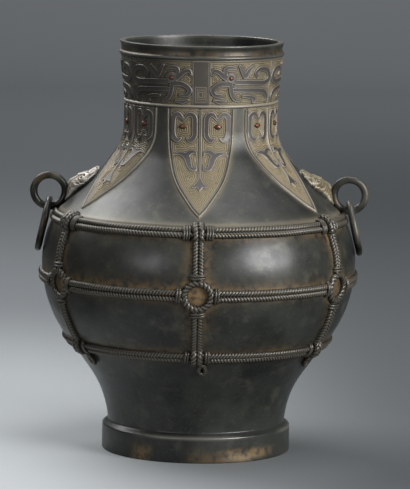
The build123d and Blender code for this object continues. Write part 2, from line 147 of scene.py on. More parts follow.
def wallProfile():
    waist = np.array([jar["waistRadius"], jar["footHeight"] + jar["bevelHeight"]])
    belly = np.array([jar["bellyRadius"], jar["bellyHeight"]])
    flare = belly - [jar["flareSetIn"], jar["flareDrop"]]
    edge = belly + [-jar["edgeSetIn"], jar["edgeRise"]]
    flareWay = leaning(2 * math.degrees(math.atan2(jar["flareSetIn"], jar["flareDrop"])))
    edgeWay = leaning(-2 * math.degrees(math.atan2(jar["edgeSetIn"], jar["edgeRise"])))
    shoulderWay, upright = leaning(-jar["shoulderLean"]), leaning(0)
    crest = edge + (outward(shoulderWay) - outward(edgeWay)) * jar["edgeRound"]
    neck = np.array([jar["neckRadius"], crest[1] + jar["shoulderRise"]])
    stations = [
        (waist, leaning(jar["waistLean"])),
        meetingOfArcs(waist, leaning(jar["waistLean"]), flare, flareWay, jar["flareReach"]),
        (flare, flareWay), (belly, upright), (edge, edgeWay), (crest, shoulderWay),
        meetingOfArcs(crest, shoulderWay, neck, upright, jar["shoulderReach"]),
        (neck, upright),
    ]
    rows = []
    for (start, way), (end, _) in zip(stations, stations[1:]):
        span, normal = end - start, outward(way)
        bend = 2 * (span @ normal) / (span @ span)
        turn = 2 * math.asin(np.linalg.norm(span) * bend / 2)
        count = max(int(abs(turn / bend) / profileStep), 2)
        for angle in np.linspace(0, turn, count, endpoint=False):
            out = outward(way * math.cos(angle) + normal * math.sin(angle))
            rows.append([*(start + normal / bend - out / bend), *out])
    top = neck[1] + jar["neckRise"] - jar["beadRadius"]
    rows += [[neck[0], height, 1, 0] for height in np.arange(neck[1], top, profileStep)]
    rows.append([neck[0], top, 1, 0])
    return np.array(rows), flare[1], edge[1], crest[1], neck[1]


profile, flareHeight, edgeHeight, crestHeight, neckHeight = wallProfile()
profileRun = np.concatenate([[0], np.cumsum(np.hypot(*np.diff(profile[:, :2], axis=0).T))])
beadHeight = neckHeight + jar["neckRise"]
rimHeight = beadHeight + jar["bandRise"]
jarHeight = rimHeight + jar["rimRise"]
bandTopRadius = jar["neckRadius"] + jar["bandFlare"]
rimRadius = bandTopRadius + jar["rimFlare"]


def wallAt(run):
    # radius, height and outward normal of the wall at this run up from the waist
    return [np.interp(run, profileRun, profile[:, column]) for column in range(4)]


def runAt(height):
    return float(np.interp(height, profile[:, 1], profileRun))


def onWall(run, side, out, azimuth):
    # place on the wall: run up it, millimetres to the side of an azimuth, millimetres out of it
    radius, height, normalR, normalZ = wallAt(run)
    angle = azimuth + side / radius
    reach = radius + normalR * out
    return np.stack(np.broadcast_arrays(
        reach * np.cos(angle), reach * np.sin(angle), height + normalZ * out), -1)


def wallNormal(run, side, azimuth):
    radius, _, normalR, normalZ = wallAt(run)
    angle = azimuth + side / radius
    return np.stack(np.broadcast_arrays(normalR * np.cos(angle), normalR * np.sin(angle), normalZ), -1)


def casting(points):
    # how far the cast surface stands off its true shape
    return sum(height * lumps(points, size, seed) for seed, (size, height) in enumerate(jar["unevenness"]))


# the net's lines on the wall, used by the cords and by the earth left beside them
net = {
    "cordRadius": 2.85, "cordLift": 0.45, "cordApart": 4.8,
    "shoulderRun": runAt(edgeHeight - 5.5), "bellyRun": runAt(jar["bellyHeight"] - 12.0),
    "lowerRun": runAt(flareHeight),
    "ringRadius": 11.25, "ringTube": 3.15, "ringLift": 0.85, "ringLay": 11.0, "ringSteps": 150,
    "bindingGap": 0.6, "bindingTurns": 2, "ringOverlap": 1.0, "knotReach": 8.35, "knotOverlap": 1.5,
    "strands": 3, "lay": 8.4, "groove": 0.27, "wrapGroove": 0.2, "layRound": 1.6, "sides": 18, "step": 0.4,
    "cutEnd": (0.55, 0.82, 0.95, 1.0),                         # a cut end's radius, step by step
    "wander": 0.35, "strapLumps": (22.0, 31), "uprightLumps": (18.0, 41),     # size of the lumps and seed
    "strapWander": (0.6, 0.5), "uprightWander": (0.5, 0.4),    # share to the side and out of the wall
    "flankEarth": 0.45, "flankFrom": 0.1, "layShade": 1.25,
    "underStrap": 1.5,                                         # dust thins this much faster under a strap
}
cordPair = ((-1, 1), (1, -1))     # side and hand of the lay of the two cords that lie together
bayAzimuths = [frontAzimuth + bay * 2 * math.pi / bays for bay in range(bays)]


def netDistance(run, azimuth, radius):
    # distance along the wall from the nearest cord of the net, counted longer under a strap
    away = np.full(np.shape(run), farAway)
    for strapRun in (net["shoulderRun"], net["bellyRun"], net["lowerRun"]):
        under = net["underStrap"] * (strapRun - run)
        away = np.minimum(away, np.where(run > strapRun, run - strapRun, under))
    turn = (azimuth - frontAzimuth + math.pi / bays) % (2 * math.pi / bays) - math.pi / bays
    side = np.abs(turn) * radius
    past = np.maximum(net["lowerRun"] - run, run - net["shoulderRun"])
    away = np.minimum(away, np.hypot(side, np.maximum(past, 0)))
    away = np.maximum(away - net["cordApart"], 0)
    fromKnot = np.hypot(side, run - net["bellyRun"]) - net["ringRadius"] - net["ringTube"]
    return np.minimum(away, np.maximum(fromKnot, 0))


# materials

def linearColour(code):
    parts = [int(code[place:place + 2], 16) / 255 for place in (1, 3, 5)]
    return tuple(p / 12.92 if p <= 0.04045 else ((p + 0.055) / 1.055) ** 2.4 for p in parts) + (1.0,)


def addNode(tree, kind, settings=None, values=None, links=None):
    node = tree.nodes.new(kind)
    for name, value in (settings or {}).items():
        setattr(node, name, value)
    for socket, value in (values or {}).items():
        node.inputs[socket].default_value = value
    for socket, source in (links or {}).items():
        tree.links.new(source, node.inputs[socket])
    return node


def perMillimetre(size):
    return 1 / (size * metres)      # a texture's scale for a pattern of this size


# noise detail of each kind of patch, and the noise values between which it fades in
patchEdges = {"cloud": (5, 0.36, 0.66), "bloom": (8, 0.52, 0.74), "speckle": (3, 0.58, 0.70),
              "roughPatch": (6, 0.3, 0.72)}


def bronzeFinish(name, look):
    # patinated bronze: dull satin, mottled between two darks, warm earth in the hollows, worn crowns
    material = bpy.data.materials.new(name)
    material.use_nodes = True
    tree = material.node_tree
    tree.nodes.clear()
    place = addNode(tree, "ShaderNodeTexCoord").outputs["Object"]
    edges = dict(patchEdges, earthPatch=(6, look["earthFrom"], look["earthFrom"] + look["earthFade"]))
    shares = {}
    for patch, (detail, low, high) in edges.items():
        noise = addNode(tree, "ShaderNodeTexNoise", values={
            "Scale": perMillimetre(look[patch]), "Detail": detail, "Roughness": 0.6}, links={"Vector": place})
        shares[patch] = addNode(tree, "ShaderNodeMapRange", {"interpolation_type": "SMOOTHSTEP"}, {
            "From Min": low, "From Max": high}, {"Value": noise.outputs["Fac"]}).outputs["Result"]
    # the figure field is the raised figures' own tone on the ornaments, and painted shade in the masks'
    # hollows and the cords' lay
    for field in ("earth", "worn", "figure"):
        shares[field] = addNode(tree, "ShaderNodeAttribute", {"attribute_name": field}).outputs["Fac"]
    earth = shares["earth"]
    shares["earth"] = addNode(tree, "ShaderNodeMath", {"operation": "MULTIPLY"}, links={
        0: earth, 1: shares["earthPatch"]}).outputs[0]
    # a colour mix takes its share at socket 0 and the colours at 6 and 7, and gives the result at 2
    colour = addNode(tree, "ShaderNodeMix", {"data_type": "RGBA"}, {
        6: linearColour(look["dark"]), 7: linearColour(look["light"])}, {0: shares["cloud"]}).outputs[2]
    for layer in ("bloom", "speckle", "figure", "earth", "worn"):
        share = addNode(tree, "ShaderNodeMath", {"operation": "MULTIPLY", "use_clamp": True}, {
            1: look[layer + "Share"]}, {0: shares[layer]}).outputs[0]
        colour = addNode(tree, "ShaderNodeMix", {"data_type": "RGBA"}, {
            7: linearColour(look[layer + "Tone"])}, {0: share, 6: colour}).outputs[2]
    rough = addNode(tree, "ShaderNodeMapRange", values={
        "To Min": look["roughLow"], "To Max": look["roughHigh"]}, links={"Value": shares["roughPatch"]})
    earthRough = addNode(tree, "ShaderNodeMath", {"operation": "MULTIPLY_ADD", "use_clamp": True}, {
        1: look["earthRough"]}, {0: earth, 2: rough.outputs["Result"]})
    grain = addNode(tree, "ShaderNodeTexNoise", values={
        "Scale": perMillimetre(look["grain"]), "Detail": 4, "Roughness": 0.65}, links={"Vector": place})
    pits = addNode(tree, "ShaderNodeTexVoronoi", {"feature": "F1"}, {
        "Scale": perMillimetre(look["pit"])}, {"Vector": place})
    pitDepth = addNode(tree, "ShaderNodeMapRange", {"interpolation_type": "SMOOTHSTEP"}, {
        "From Min": 0.02, "From Max": 0.22}, {"Value": pits.outputs["Distance"]})
    relief = addNode(tree, "ShaderNodeMath", {"operation": "MULTIPLY_ADD"}, {1: look["pitShare"]}, {
        0: pitDepth.outputs["Result"], 2: grain.outputs["Fac"]})
    bump = addNode(tree, "ShaderNodeBump", values={
        "Strength": look["bump"], "Distance": look["bumpDepth"] * metres}, links={
        "Height": relief.outputs[0]})
    shader = addNode(tree, "ShaderNodeBsdfPrincipled", values={
        "Metallic": look["metallic"], "Specular IOR Level": look["specular"]}, links={
        "Base Color": colour, "Roughness": earthRough.outputs[0], "Normal": bump.outputs["Normal"]})
    addNode(tree, "ShaderNodeOutputMaterial", links={"Surface": shader.outputs["BSDF"]})
    return material


# cast bronze under a wax-dark patina: olive grey going black, a soft sheen, brown earth beside the cords
wallLook = {
    "dark": "#1b1d1c", "light": "#30322e", "cloud": 55.0,
    "bloom": 20.0, "bloomTone": "#4d4d43", "bloomShare": 0.5,
    "speckle": 2.2, "speckleTone": "#645f4e", "speckleShare": 0.2,
    "figureTone": "#423f3d", "figureShare": 0.0,
    "earthTone": "#8a6f49", "earthPatch": 6.0, "earthFrom": 0.31, "earthFade": 0.3, "earthShare": 0.78,
    "earthRough": 0.16, "wornTone": "#85827a", "wornShare": 0.6,
    "roughPatch": 26.0, "roughLow": 0.3, "roughHigh": 0.43,
    "grain": 1.1, "pit": 3.4, "pitShare": 0.35, "bump": 0.16, "bumpDepth": 0.25,
    "metallic": 0.3, "specular": 0.48,
}
# the same bronze where the casting's fine lines hold dry earth: tan ground, grey-violet raised figures
ornamentLook = dict(
    wallLook, figureShare=0.95, earthTone="#85785e", earthPatch=4.0, earthFrom=0.14, earthShare=0.97,
    earthRough=0.28, wornTone="#a79d8e", wornShare=0.7, bump=0.24, roughLow=0.38, roughHigh=0.52)
# cords: painted shade, near black, in the lay between the strands; rubbed pale on the crowns
cordLook = dict(
    wallLook, dark="#26251f", light="#38352e", cloud=30.0, figureTone="#0b0b0a", figureShare=0.95,
    earthTone="#5c4a31", earthPatch=5.0, earthFrom=0.3, earthShare=0.75, wornTone="#867e70", wornShare=0.42,
    grain=0.8, bump=0.22)
# masks: drier, with painted shade, near black, in the hollows; the left copy is painted pale grey as if
# strongly lit, the right copy painted darker and browner
litLeftMaskLook = dict(
    ornamentLook, dark="#7a756e", light="#948f87", earthTone="#857c70", wornTone="#c2bcb1", wornShare=0.7,
    figureTone="#1c1b19", figureShare=1.0)
dimRightMaskLook = dict(litLeftMaskLook, dark="#423e34", light="#575144", earthTone="#65583d", wornTone="#92876f")
# rings and loops: handled metal, nearly black and a little rougher, so the light runs along them softly
ringLook = dict(
    wallLook, dark="#10110f", light="#1d1d19", cloud=18.0, roughLow=0.32, roughHigh=0.46, specular=0.36,
    earthShare=0.35, wornShare=0.3, grain=0.9, bump=0.14)
# copper studs let into the bronze: red metal dulled by a thin brown skin
copperLook = dict(
    wallLook, dark="#48281f", light="#63392b", cloud=3.0, bloom=2.0, bloomTone="#704a3a", earthTone="#34261e",
    wornTone="#94705f", wornShare=0.4, roughLow=0.3, roughHigh=0.44, metallic=0.6)
bronzeWall = bronzeFinish("castBronzeDarkPatina", wallLook)
bronzeOrnament = bronzeFinish("castBronzeEarthGround", ornamentLook)
bronzeCord = bronzeFinish("castBronzeRopework", cordLook)
bronzeMasks = {"left": bronzeFinish("castBronzeMaskPaintedLit", litLeftMaskLook),
               "right": bronzeFinish("castBronzeMaskPaintedDim", dimRightMaskLook)}
bronzeRing = bronzeFinish("handledBronzeRing", ringLook)
copperEye = bronzeFinish("copperStud", copperLook)
print("materials made")


# meshes from grids of points
mapMargin = 0.01      # left free round each grid's share of the map


def gridFaces(rows, columns, rowsClosed, columnsClosed, keep):
    # the quads of a grid and their corners on a map from 0 to 1
    tall, wide = rows - (not rowsClosed), columns - (not columnsClosed)
    i, j = (index.ravel() for index in np.meshgrid(np.arange(tall), np.arange(wide), indexing="ij"))
    nextRow, nextColumn = (i + 1) % rows, (j + 1) % columns
    quads = np.stack([i * columns + j, i * columns + nextColumn,
                      nextRow * columns + nextColumn, nextRow * columns + j], 1)
    corners = np.stack([np.stack([j + dj, i + di], 1) for dj, di in ((0, 0), (1, 0), (1, 1), (0, 1))], 1)
    corners = corners / [wide, tall]
    if keep is not None:
        wanted = keep.ravel()[quads].any(1)
        quads, corners = quads[wanted], corners[wanted]
    return quads, corners


def dropLoose(mesh):
    # points of left-out faces go
    used = np.zeros(len(mesh.vertices), bool)
    corners = np.zeros(len(mesh.loops), np.int32)
    mesh.loops.foreach_get("vertex_index", corners)
    used[corners] = True
    if used.all():
        return
    work = bmesh.new()
    work.from_mesh(mesh)
    work.verts.ensure_lookup_table()
    bmesh.ops.delete(work, geom=[work.verts[int(i)] for i in np.flatnonzero(~used)], context="VERTS")
    work.to_mesh(mesh)
    work.free()


def gridPiece(name, grids, finish, body, nodes):
    # one mesh from grids of points (rows, columns, xyz), each with its own share of the map
    places, loops, starts, maps = [], [], [], []
    fields = {"earth": [], "worn": [], "figure": []}
    vertexCount = loopCount = 0
    for number, grid in enumerate(grids):
        points = grid["points"]
        rows, columns = points.shape[:2]
        quads, corners = gridFaces(rows, columns, grid.get("rowsClosed", False),
                                   grid.get("columnsClosed", False), grid.get("keep"))
        filled = 1 - 2 * mapMargin
        corners = corners * [filled, filled / len(grids)] + [mapMargin, (number + mapMargin) / len(grids)]
        places.append(points.reshape(-1, 3))
        loops.append((quads + vertexCount).ravel())
        starts.append(loopCount + 4 * np.arange(len(quads)))
        maps.append(corners.reshape(-1, 2))
        loopCount += 4 * len(quads)
        if grid.get("capped"):
            for ring in (np.arange(columns)[::-1], np.arange(columns) + (rows - 1) * columns):
                loops.append(ring + vertexCount)
                starts.append(np.array([loopCount]))
                maps.append(np.full((columns, 2), [mapMargin / 2, (number + 0.5) / len(grids)]))
                loopCount += columns
        for field in fields:
            value = grid.get(field, 0.0)
            fields[field].append(np.broadcast_to(value, points.shape[:2]).ravel())
        vertexCount += rows * columns
    mesh = bpy.data.meshes.new(name)
    mesh.vertices.add(vertexCount)
    mesh.vertices.foreach_set("co", (np.concatenate(places) * metres).astype(np.float32).ravel())
    mesh.loops.add(loopCount)
    mesh.loops.foreach_set("vertex_index", np.concatenate(loops).astype(np.int32))
    starts = np.concatenate(starts)
    mesh.polygons.add(len(starts))
    mesh.polygons.foreach_set("loop_start", starts.astype(np.int32))
    mesh.update(calc_edges=True)
    mesh.polygons.foreach_set("use_smooth", np.ones(len(starts), bool))
    layer = mesh.uv_layers.new(name="OFBake")
    layer.uv.foreach_set("vector", np.concatenate(maps).astype(np.float32).ravel())
    for field, values in fields.items():
        attribute = mesh.attributes.new(field, "FLOAT", "POINT")
        attribute.data.foreach_set("value", np.concatenate(values).astype(np.float32))
    dropLoose(mesh)
    mesh.materials.append(finish)
    piece = bpy.data.objects.new(name, mesh)
    bpy.context.scene.collection.objects.link(piece)
    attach(piece, body)
    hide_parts(*nodes)
    return piece


# the wall in zones, each a sheet of rows up the profile and columns round the axis

def roundedLine(corners, radius, step):
    # straight runs through the corners, each eased by this radius, or less where a side is short
    corners = np.asarray(corners, float)
    sideShare, curvePoints = 0.45, 6
    line = [corners[0]]
    for before, corner, after in zip(corners, corners[1:], corners[2:]):
        back, ahead = np.linalg.norm(corner - before), np.linalg.norm(after - corner)
        reach = min(radius, back * sideShare, ahead * sideShare)
        first = corner + (before - corner) / back * reach
        last = corner + (after - corner) / ahead * reach
        share = np.linspace(0, 1, curvePoints)[:, None]
        line.extend((1 - share) ** 2 * first + 2 * share * (1 - share) * corner + share ** 2 * last)
    line.append(corners[-1])
    line = np.array(line)
    dense = [line[:1]]
    for first, second in zip(line, line[1:]):
        count = max(int(np.linalg.norm(second - first) / step), 1)
        dense.append(first + (second - first) * np.linspace(0, 1, count + 1)[1:, None])
    return np.vstack(dense)


def lineNormals(line):
    way = np.gradient(line, axis=0)
    way /= np.linalg.norm(way, axis=1)[:, None]
    return np.stack([way[:, 1], -way[:, 0]], 1)


def carriedRound(line, azimuths):
    # a line of radius and height, carried round the axis
    return np.stack(np.broadcast_arrays(
        line[:, :1] * np.cos(azimuths), line[:, :1] * np.sin(azimuths), line[:, 1:]), -1)


def sheetPoints(line, normals, azimuths, lift=0.0):
    # points of a turned sheet, lifted along its normals and by the casting's unevenness
    base = carriedRound(line, azimuths)
    return base + carriedRound(normals, azimuths) * (lift + casting(base))[..., None]


def roundAzimuths(count):
    return np.arange(count) / count * 2 * math.pi + frontAzimuth - math.pi / bays


def runRows(low, high, step):
    runs = np.linspace(low, high, max(int((high - low) / step), 2))
    radius, height, normalR, normalZ = wallAt(runs)
    return runs, np.stack([radius, height], 1), np.stack([normalR, normalZ], 1)


sheet = {"step": 1.8, "columns": 480, "cornerRadius": 0.9}
# earth beside the cords: its reach, its evenness, and how much is left below the belly strap
cordEarth = {"reach": 4.4, "mean": 0.72, "vary": 0.38, "lumps": (34.0, 14),
             "below": 0.45, "belowFrom": -16.0, "belowTo": 2.0}


def earthBesideNet(runs, line, azimuths):
    away = netDistance(runs[:, None], azimuths[None], line[:, :1])
    shade = smoothstep(cordEarth["belowFrom"], cordEarth["belowTo"], runs - net["bellyRun"])[:, None]
    shade = cordEarth["below"] + (1 - cordEarth["below"]) * shade
    patchy = cordEarth["mean"] + cordEarth["vary"] * lumps(carriedRound(line, azimuths), *cordEarth["lumps"])
    return shade * np.exp(-away / cordEarth["reach"]) * patchy


# the foot: earth rubbed in near the ground, a painted highlight in patches along the bevel, and a place where
# the skin is worn to brown
foot = {
    "ledgeDrop": 4.0, "rubLumps": (24.0, 11), "rubEdges": (0.1, 0.7), "rubHeights": (4.0, 20.0),
    "rubEarth": 0.6, "bevelTall": 1.2, "bevelLumps": (30.0, 12), "bevelEdges": (-0.3, 0.6), "bevelHighlight": 0.8,
    "wearAzimuth": frontAzimuth + math.radians(33), "wearSpread": math.radians(19), "wearHeight": 7.5,
    "wearTall": 4.6, "wearDepth": 0.5, "wearLumps": (7.0, 13), "wearEdges": (-0.9, -0.2), "wearEarth": 0.7,
}


def lowerWall():
    # foot ring, bevel and flare, up to the lower strap
    runs, flareLine, flareNormals = runRows(0, net["lowerRun"], sheet["step"])
    footLine = roundedLine([
        (jar["footRadius"] - jar["footRing"], jar["plateTop"] - foot["ledgeDrop"]),
        (jar["footRadius"] - jar["footRing"], 0.0),
        (jar["footRadius"], 0.0),
        (jar["footRadius"], jar["footHeight"]),
        tuple(flareLine[0]),
        tuple(flareLine[1]),
    ], sheet["cornerRadius"], sheet["step"])[:-1]
    runs, flareLine, flareNormals = runs[1:], flareLine[1:], flareNormals[1:]
    line = np.vstack([footLine, flareLine])
    normals = lineNormals(line)
    normals[len(footLine):] = flareNormals
    azimuths = roundAzimuths(sheet["columns"])
    heights = line[:, 1:]
    base = carriedRound(line, azimuths)
    earth = np.zeros((len(line), len(azimuths)))
    earth[len(footLine):] = earthBesideNet(runs, flareLine, azimuths)
    rubbed = smoothstep(*foot["rubEdges"], lumps(base, *foot["rubLumps"]))
    nearGround = 1 - smoothstep(*foot["rubHeights"], heights)
    earth = np.maximum(earth, foot["rubEarth"] * nearGround * rubbed)
    turn = (azimuths - foot["wearAzimuth"] + math.pi) % (2 * math.pi) - math.pi
    wear = np.exp(-(turn / foot["wearSpread"]) ** 4)
    wear = wear * np.exp(-((heights - foot["wearHeight"]) / foot["wearTall"]) ** 4)
    outside = line[:, :1] > jar["footRadius"] - 1.0
    wear = wear * outside * smoothstep(*foot["wearEdges"], lumps(base, *foot["wearLumps"]))
    earth = np.maximum(earth, foot["wearEarth"] * wear)
    # painted highlight: pale patches along the bevel, carried as wear
    bevel = np.exp(-((heights - jar["footHeight"]) / foot["bevelTall"]) ** 2)
    highlightPatches = smoothstep(*foot["bevelEdges"], lumps(base, *foot["bevelLumps"]))
    points = sheetPoints(line, normals, azimuths, -foot["wearDepth"] * wear)
    points[..., 2] = np.where(heights <= 0.001, 0.0, np.maximum(points[..., 2], 0.0))      # flat on the floor
    return {"points": points, "columnsClosed": True, "earth": earth,
            "worn": foot["bevelHighlight"] * bevel * highlightPatches}


def bellyWall():
    runs, line, normals = runRows(net["lowerRun"], net["shoulderRun"], sheet["step"])
    azimuths = roundAzimuths(sheet["columns"])
    return {"points": sheetPoints(line, normals, azimuths), "columnsClosed": True,
            "earth": earthBesideNet(runs, line, azimuths)}


# painted shade on the neck's ornament: earth, wear and figure tone in full on the right, cut back on the
# left, so the left side is painted dark, away from the light
neckSideShade = {"shadeShare": 0.72, "shadeEdges": (0.12, 0.66), "shadeDown": (30.0, 46.0), "shadeWorn": 0.6}


def neckLitShare(azimuths):
    return 1 - neckSideShade["shadeShare"] * smoothstep(*neckSideShade["shadeEdges"], -np.cos(azimuths))


# blades: tongues hanging from the neck, drawn on the flattened wall, x to the side and y down from the bead;
# their ground lines and the band's are coarser than cast ones, so that they show in the picture
blade = {
    "halfWidths": [(0, 29.4), (6, 29.4), (30, 28.8), (50, 26.4), (65, 23.3), (77, 18.8), (90, 12.0),
                   (100, 6.6), (109.3, 0)],
    "rim": 1.7, "rimLift": 1.35, "rimRise": 0.5, "rimFall": 0.4, "channel": 1.1, "channelLift": 0.55,
    "innerLine": 0.9, "innerLift": 1.15, "innerFade": 0.15, "groundFade": 0.8, "edgeFade": 0.4,
    "ground": 0.62, "lines": 1.6, "lineDepth": 0.26, "lineStart": 0.4, "groundEarth": 0.66, "lineEarth": 0.34,
    "figureLift": 1.55, "figureEdge": 0.5, "figureDip": 0.25, "outline": 0.42, "outlineIn": 0.2,
    "besideEarth": 0.5, "besideReach": 1.5, "wornRim": 0.6, "wornOutline": 0.62, "wornInner": 0.45,
    "headFade": (0.3, 1.2), "netEarth": 0.5, "ridgeWide": 2.2, "ridgeWorn": 0.15,
    "columns": 216, "step": 0.34,
}
# strokes of one half blade, as points and half widths; the other half is the mirror of it
bladeStrokes = [
    ([(14.2, 11.6), (18.6, 6.8), (23.2, 8.6), (24.2, 17.0), (23.6, 25.0), (20.4, 29.0), (16.8, 27.4)],
     [0.9, 2.1, 2.5, 2.4, 2.4, 2.2, 0.9]),
    ([(14.2, 11.6), (10.0, 6.6), (5.6, 8.6), (4.9, 17.0), (5.2, 25.0), (8.4, 29.0), (11.8, 27.4)],
     [0.9, 2.1, 2.4, 2.3, 2.3, 2.2, 0.9]),
    ([(24.0, 43.6), (19.4, 41.2), (14.4, 42.0), (10.8, 46.0), (9.6, 51.4), (7.6, 56.4), (3.9, 56.2),
      (3.7, 52.8)],
     [0.3, 1.3, 2.6, 3.0, 2.5, 1.9, 1.6, 0.8]),
    ([(12.4, 43.4), (8.4, 39.8), (4.9, 39.4), (3.0, 42.0)], [2.6, 2.2, 1.6, 0.5]),
    ([(0.0, 1.0), (0.0, 30.0), (0.0, 58.0), (0.0, 68.0)], [1.2, 1.1, 1.1, 1.0]),
    ([(0.0, 66.0), (1.8, 71.4), (4.0, 74.6), (7.0, 76.0)], [1.0, 1.7, 1.6, 0.3]),
    ([(0.0, 67.0), (0.0, 73.6), (0.0, 79.6)], [1.2, 3.2, 0.3]),
]
# painted shade: a dark line round each raised figure, where earth is taken away: how far out, how wide, and
# the share of earth that is gone
figureShadeLine = {"out": 0.6, "wide": 0.45, "share": 0.45}


def figureField(x, y, strokes):
    # how far outside the nearest stroke
    away = np.full(np.shape(x), farAway)
    for points, widths in strokes:
        away = np.minimum(away, strokeDistance(x, y, points, widths))
    return away


# share of earth kept, less in the painted shade line round the figures
def earthBesideShadeLine(away):
    return 1 - figureShadeLine["share"] * np.exp(-((away - figureShadeLine["out"]) / figureShadeLine["wide"]) ** 2)


def bladeRelief(x, y):
    # lift, earth, worn and figure of a blade at these places
    edgeDown, edgeHalf = np.array(blade["halfWidths"]).T
    dense = throughPoints(np.stack([edgeHalf, edgeDown], 1), 8)
    side = np.abs(x)
    inside = side < np.interp(y, dense[:, 1], dense[:, 0], left=0, right=0)
    edge = lineDistance(side, y, dense)
    depth = np.where(inside, edge, -edge)
    rim = smoothstep(0.0, blade["rimRise"], depth)
    rim = rim * (1 - smoothstep(blade["rim"] - blade["rimFall"], blade["rim"], depth))
    innerAt = blade["rim"] + blade["channel"] + blade["innerLine"] / 2
    inner = np.clip(1 - np.abs(depth - innerAt) / (blade["innerLine"] / 2 + blade["innerFade"]), 0, 1)
    field = smoothstep(innerAt, innerAt + blade["groundFade"], depth)
    away = figureField(side, y, bladeStrokes)
    figure = smoothstep(blade["figureEdge"] / 2, -blade["figureEdge"] / 2, away) * field
    outline = np.exp(-((away + blade["outlineIn"]) / blade["outline"]) ** 2) * field
    contour = np.minimum(depth - innerAt, away + blade["lineStart"])
    ripple = np.cos(2 * math.pi * contour / blade["lines"]) * field * (1 - figure)
    level = np.where(inside, blade["channelLift"] + (blade["ground"] - blade["channelLift"]) * field, 0)
    level = level * smoothstep(0, blade["edgeFade"], depth)
    lift = level + rim * (blade["rimLift"] - blade["channelLift"])
    lift = lift + inner * (blade["innerLift"] - blade["channelLift"]) * inside + blade["lineDepth"] * ripple
    lift = lift * (1 - figure) + figure * (blade["figureLift"] - blade["figureDip"] * (1 - outline))
    earth = field * (1 - np.maximum(figure, inner)) * (blade["groundEarth"] + blade["lineEarth"] * ripple)
    earth = earth * earthBesideShadeLine(away)
    beside = np.exp(-np.maximum(-depth, 0) / blade["besideReach"]) * (~inside)
    worn = np.clip(blade["wornRim"] * rim + blade["wornOutline"] * outline + blade["wornInner"] * inner, 0, 1)
    return lift, np.clip(earth + blade["besideEarth"] * beside, 0, 1), worn, figure


def bladePanel(azimuth):
    runs, line, normals = runRows(net["shoulderRun"], profileRun[-1], blade["step"])
    offsets = np.linspace(-math.pi / bays, math.pi / bays, blade["columns"] + 1)
    down = (profileRun[-1] + jar["beadRadius"] - runs)[:, None]
    x, y = np.broadcast_arrays(line[:, :1] * offsets[None], down)
    lift, earth, worn, figure = bladeRelief(x, y)
    lift = lift * smoothstep(*blade["headFade"], down - jar["beadRadius"])
    azimuths = azimuth + offsets
    # painted shade: near the bead the blades lose earth and wear on the left side
    leftShade = (1 - smoothstep(*neckSideShade["shadeDown"], down)) * (1 - neckLitShare(azimuths)[None])
    earth = np.maximum(earth * (1 - leftShade), blade["netEarth"] * earthBesideNet(runs, line, azimuths))
    ridge = np.exp(-((runs - runAt(crestHeight)) / blade["ridgeWide"]) ** 2)[:, None]
    worn = np.maximum(worn * (1 - neckSideShade["shadeWorn"] * leftShade), blade["ridgeWorn"] * ridge)
    points = sheetPoints(line, normals, azimuths, lift)
    return {"points": points, "earth": earth, "worn": worn, "figure": figure}


# dragon band: three facing pairs on the flattened band, x to the side of a pair's middle, y up from the bead
band = {
    "pairs": 3, "radius": 68.3, "step": 0.32, "eye": (25.7, 24.8), "headRadius": 5.0,
    "eyeRing": 3.2, "eyeRingWide": 0.4, "eyeRingShare": 0.8,
    "panel": 6.3, "panelFade": 0.3, "panelLift": 0.6, "panelFigure": 0.6,
    "squares": (1.6, 3.0, 4.6), "squareMiddle": 11.0, "squareSlim": 0.72, "squareWide": 0.35,
    "squareDepth": 0.3, "squareTop": 20, "lines": 1.4, "lineDepth": 0.2, "lineStart": 0.35, "edgeStart": 1.4,
    "groundEarth": 0.53, "lineEarth": 0.34, "squareEarth": 0.4,
    "figureLift": 1.15, "figureEdge": 0.5, "figureDip": 0.2, "broader": 0.45, "outline": 0.42,
    "outlineIn": 0.2, "frameOut": 0.9, "frameIn": 0.4, "frameEdges": (0.5, 1.0), "frameLift": 0.55,
    "wornOutline": 0.5, "wornFrame": 0.35, "wornPanel": 0.12, "wornBead": 0.7, "figureSideLight": 0.6,
}
dragonStrokes = [
    ([(25.0, 23.6), (19.4, 26.2), (14.6, 30.4), (10.4, 31.2), (8.8, 28.0)], [2.2, 2.0, 1.7, 1.4, 0.7]),
    ([(25.4, 19.4), (18.0, 20.0), (12.4, 17.6), (9.8, 14.0), (12.4, 10.2), (18.4, 9.8)],
     [1.9, 1.9, 1.7, 1.6, 1.5, 0.8]),
    ([(20.4, 28.4), (20.6, 32.6), (24.4, 34.0), (29.6, 33.2)], [1.4, 1.5, 1.4, 0.8]),
    ([(33.6, 35.2), (36.6, 30.2), (39.2, 26.4), (42.0, 30.4), (46.0, 34.4)], [1.0, 1.7, 1.9, 1.7, 1.0]),
    ([(30.4, 21.4), (46.0, 20.8), (62.0, 20.2), (68.2, 24.2), (65.0, 30.6), (56.0, 32.2), (51.0, 29.2),
      (52.6, 25.6)],
     [1.9, 1.9, 1.9, 1.9, 1.8, 1.6, 1.4, 0.7]),
    ([(29.6, 14.8), (44.0, 14.2), (56.0, 13.6), (63.0, 12.0), (66.8, 7.8), (66.0, 3.8)],
     [1.7, 1.8, 1.8, 1.7, 1.5, 0.7]),
    ([(25.6, 18.4), (26.8, 12.0), (29.6, 7.0), (34.0, 4.8)], [1.7, 1.6, 1.5, 0.7]),
    ([(11.4, 5.6), (16.6, 4.2), (22.4, 4.6)], [0.8, 1.4, 0.7]),
    ([(38.0, 8.8), (45.0, 8.4), (51.0, 6.4), (49.0, 3.8)], [0.8, 1.4, 1.3, 0.6]),
]


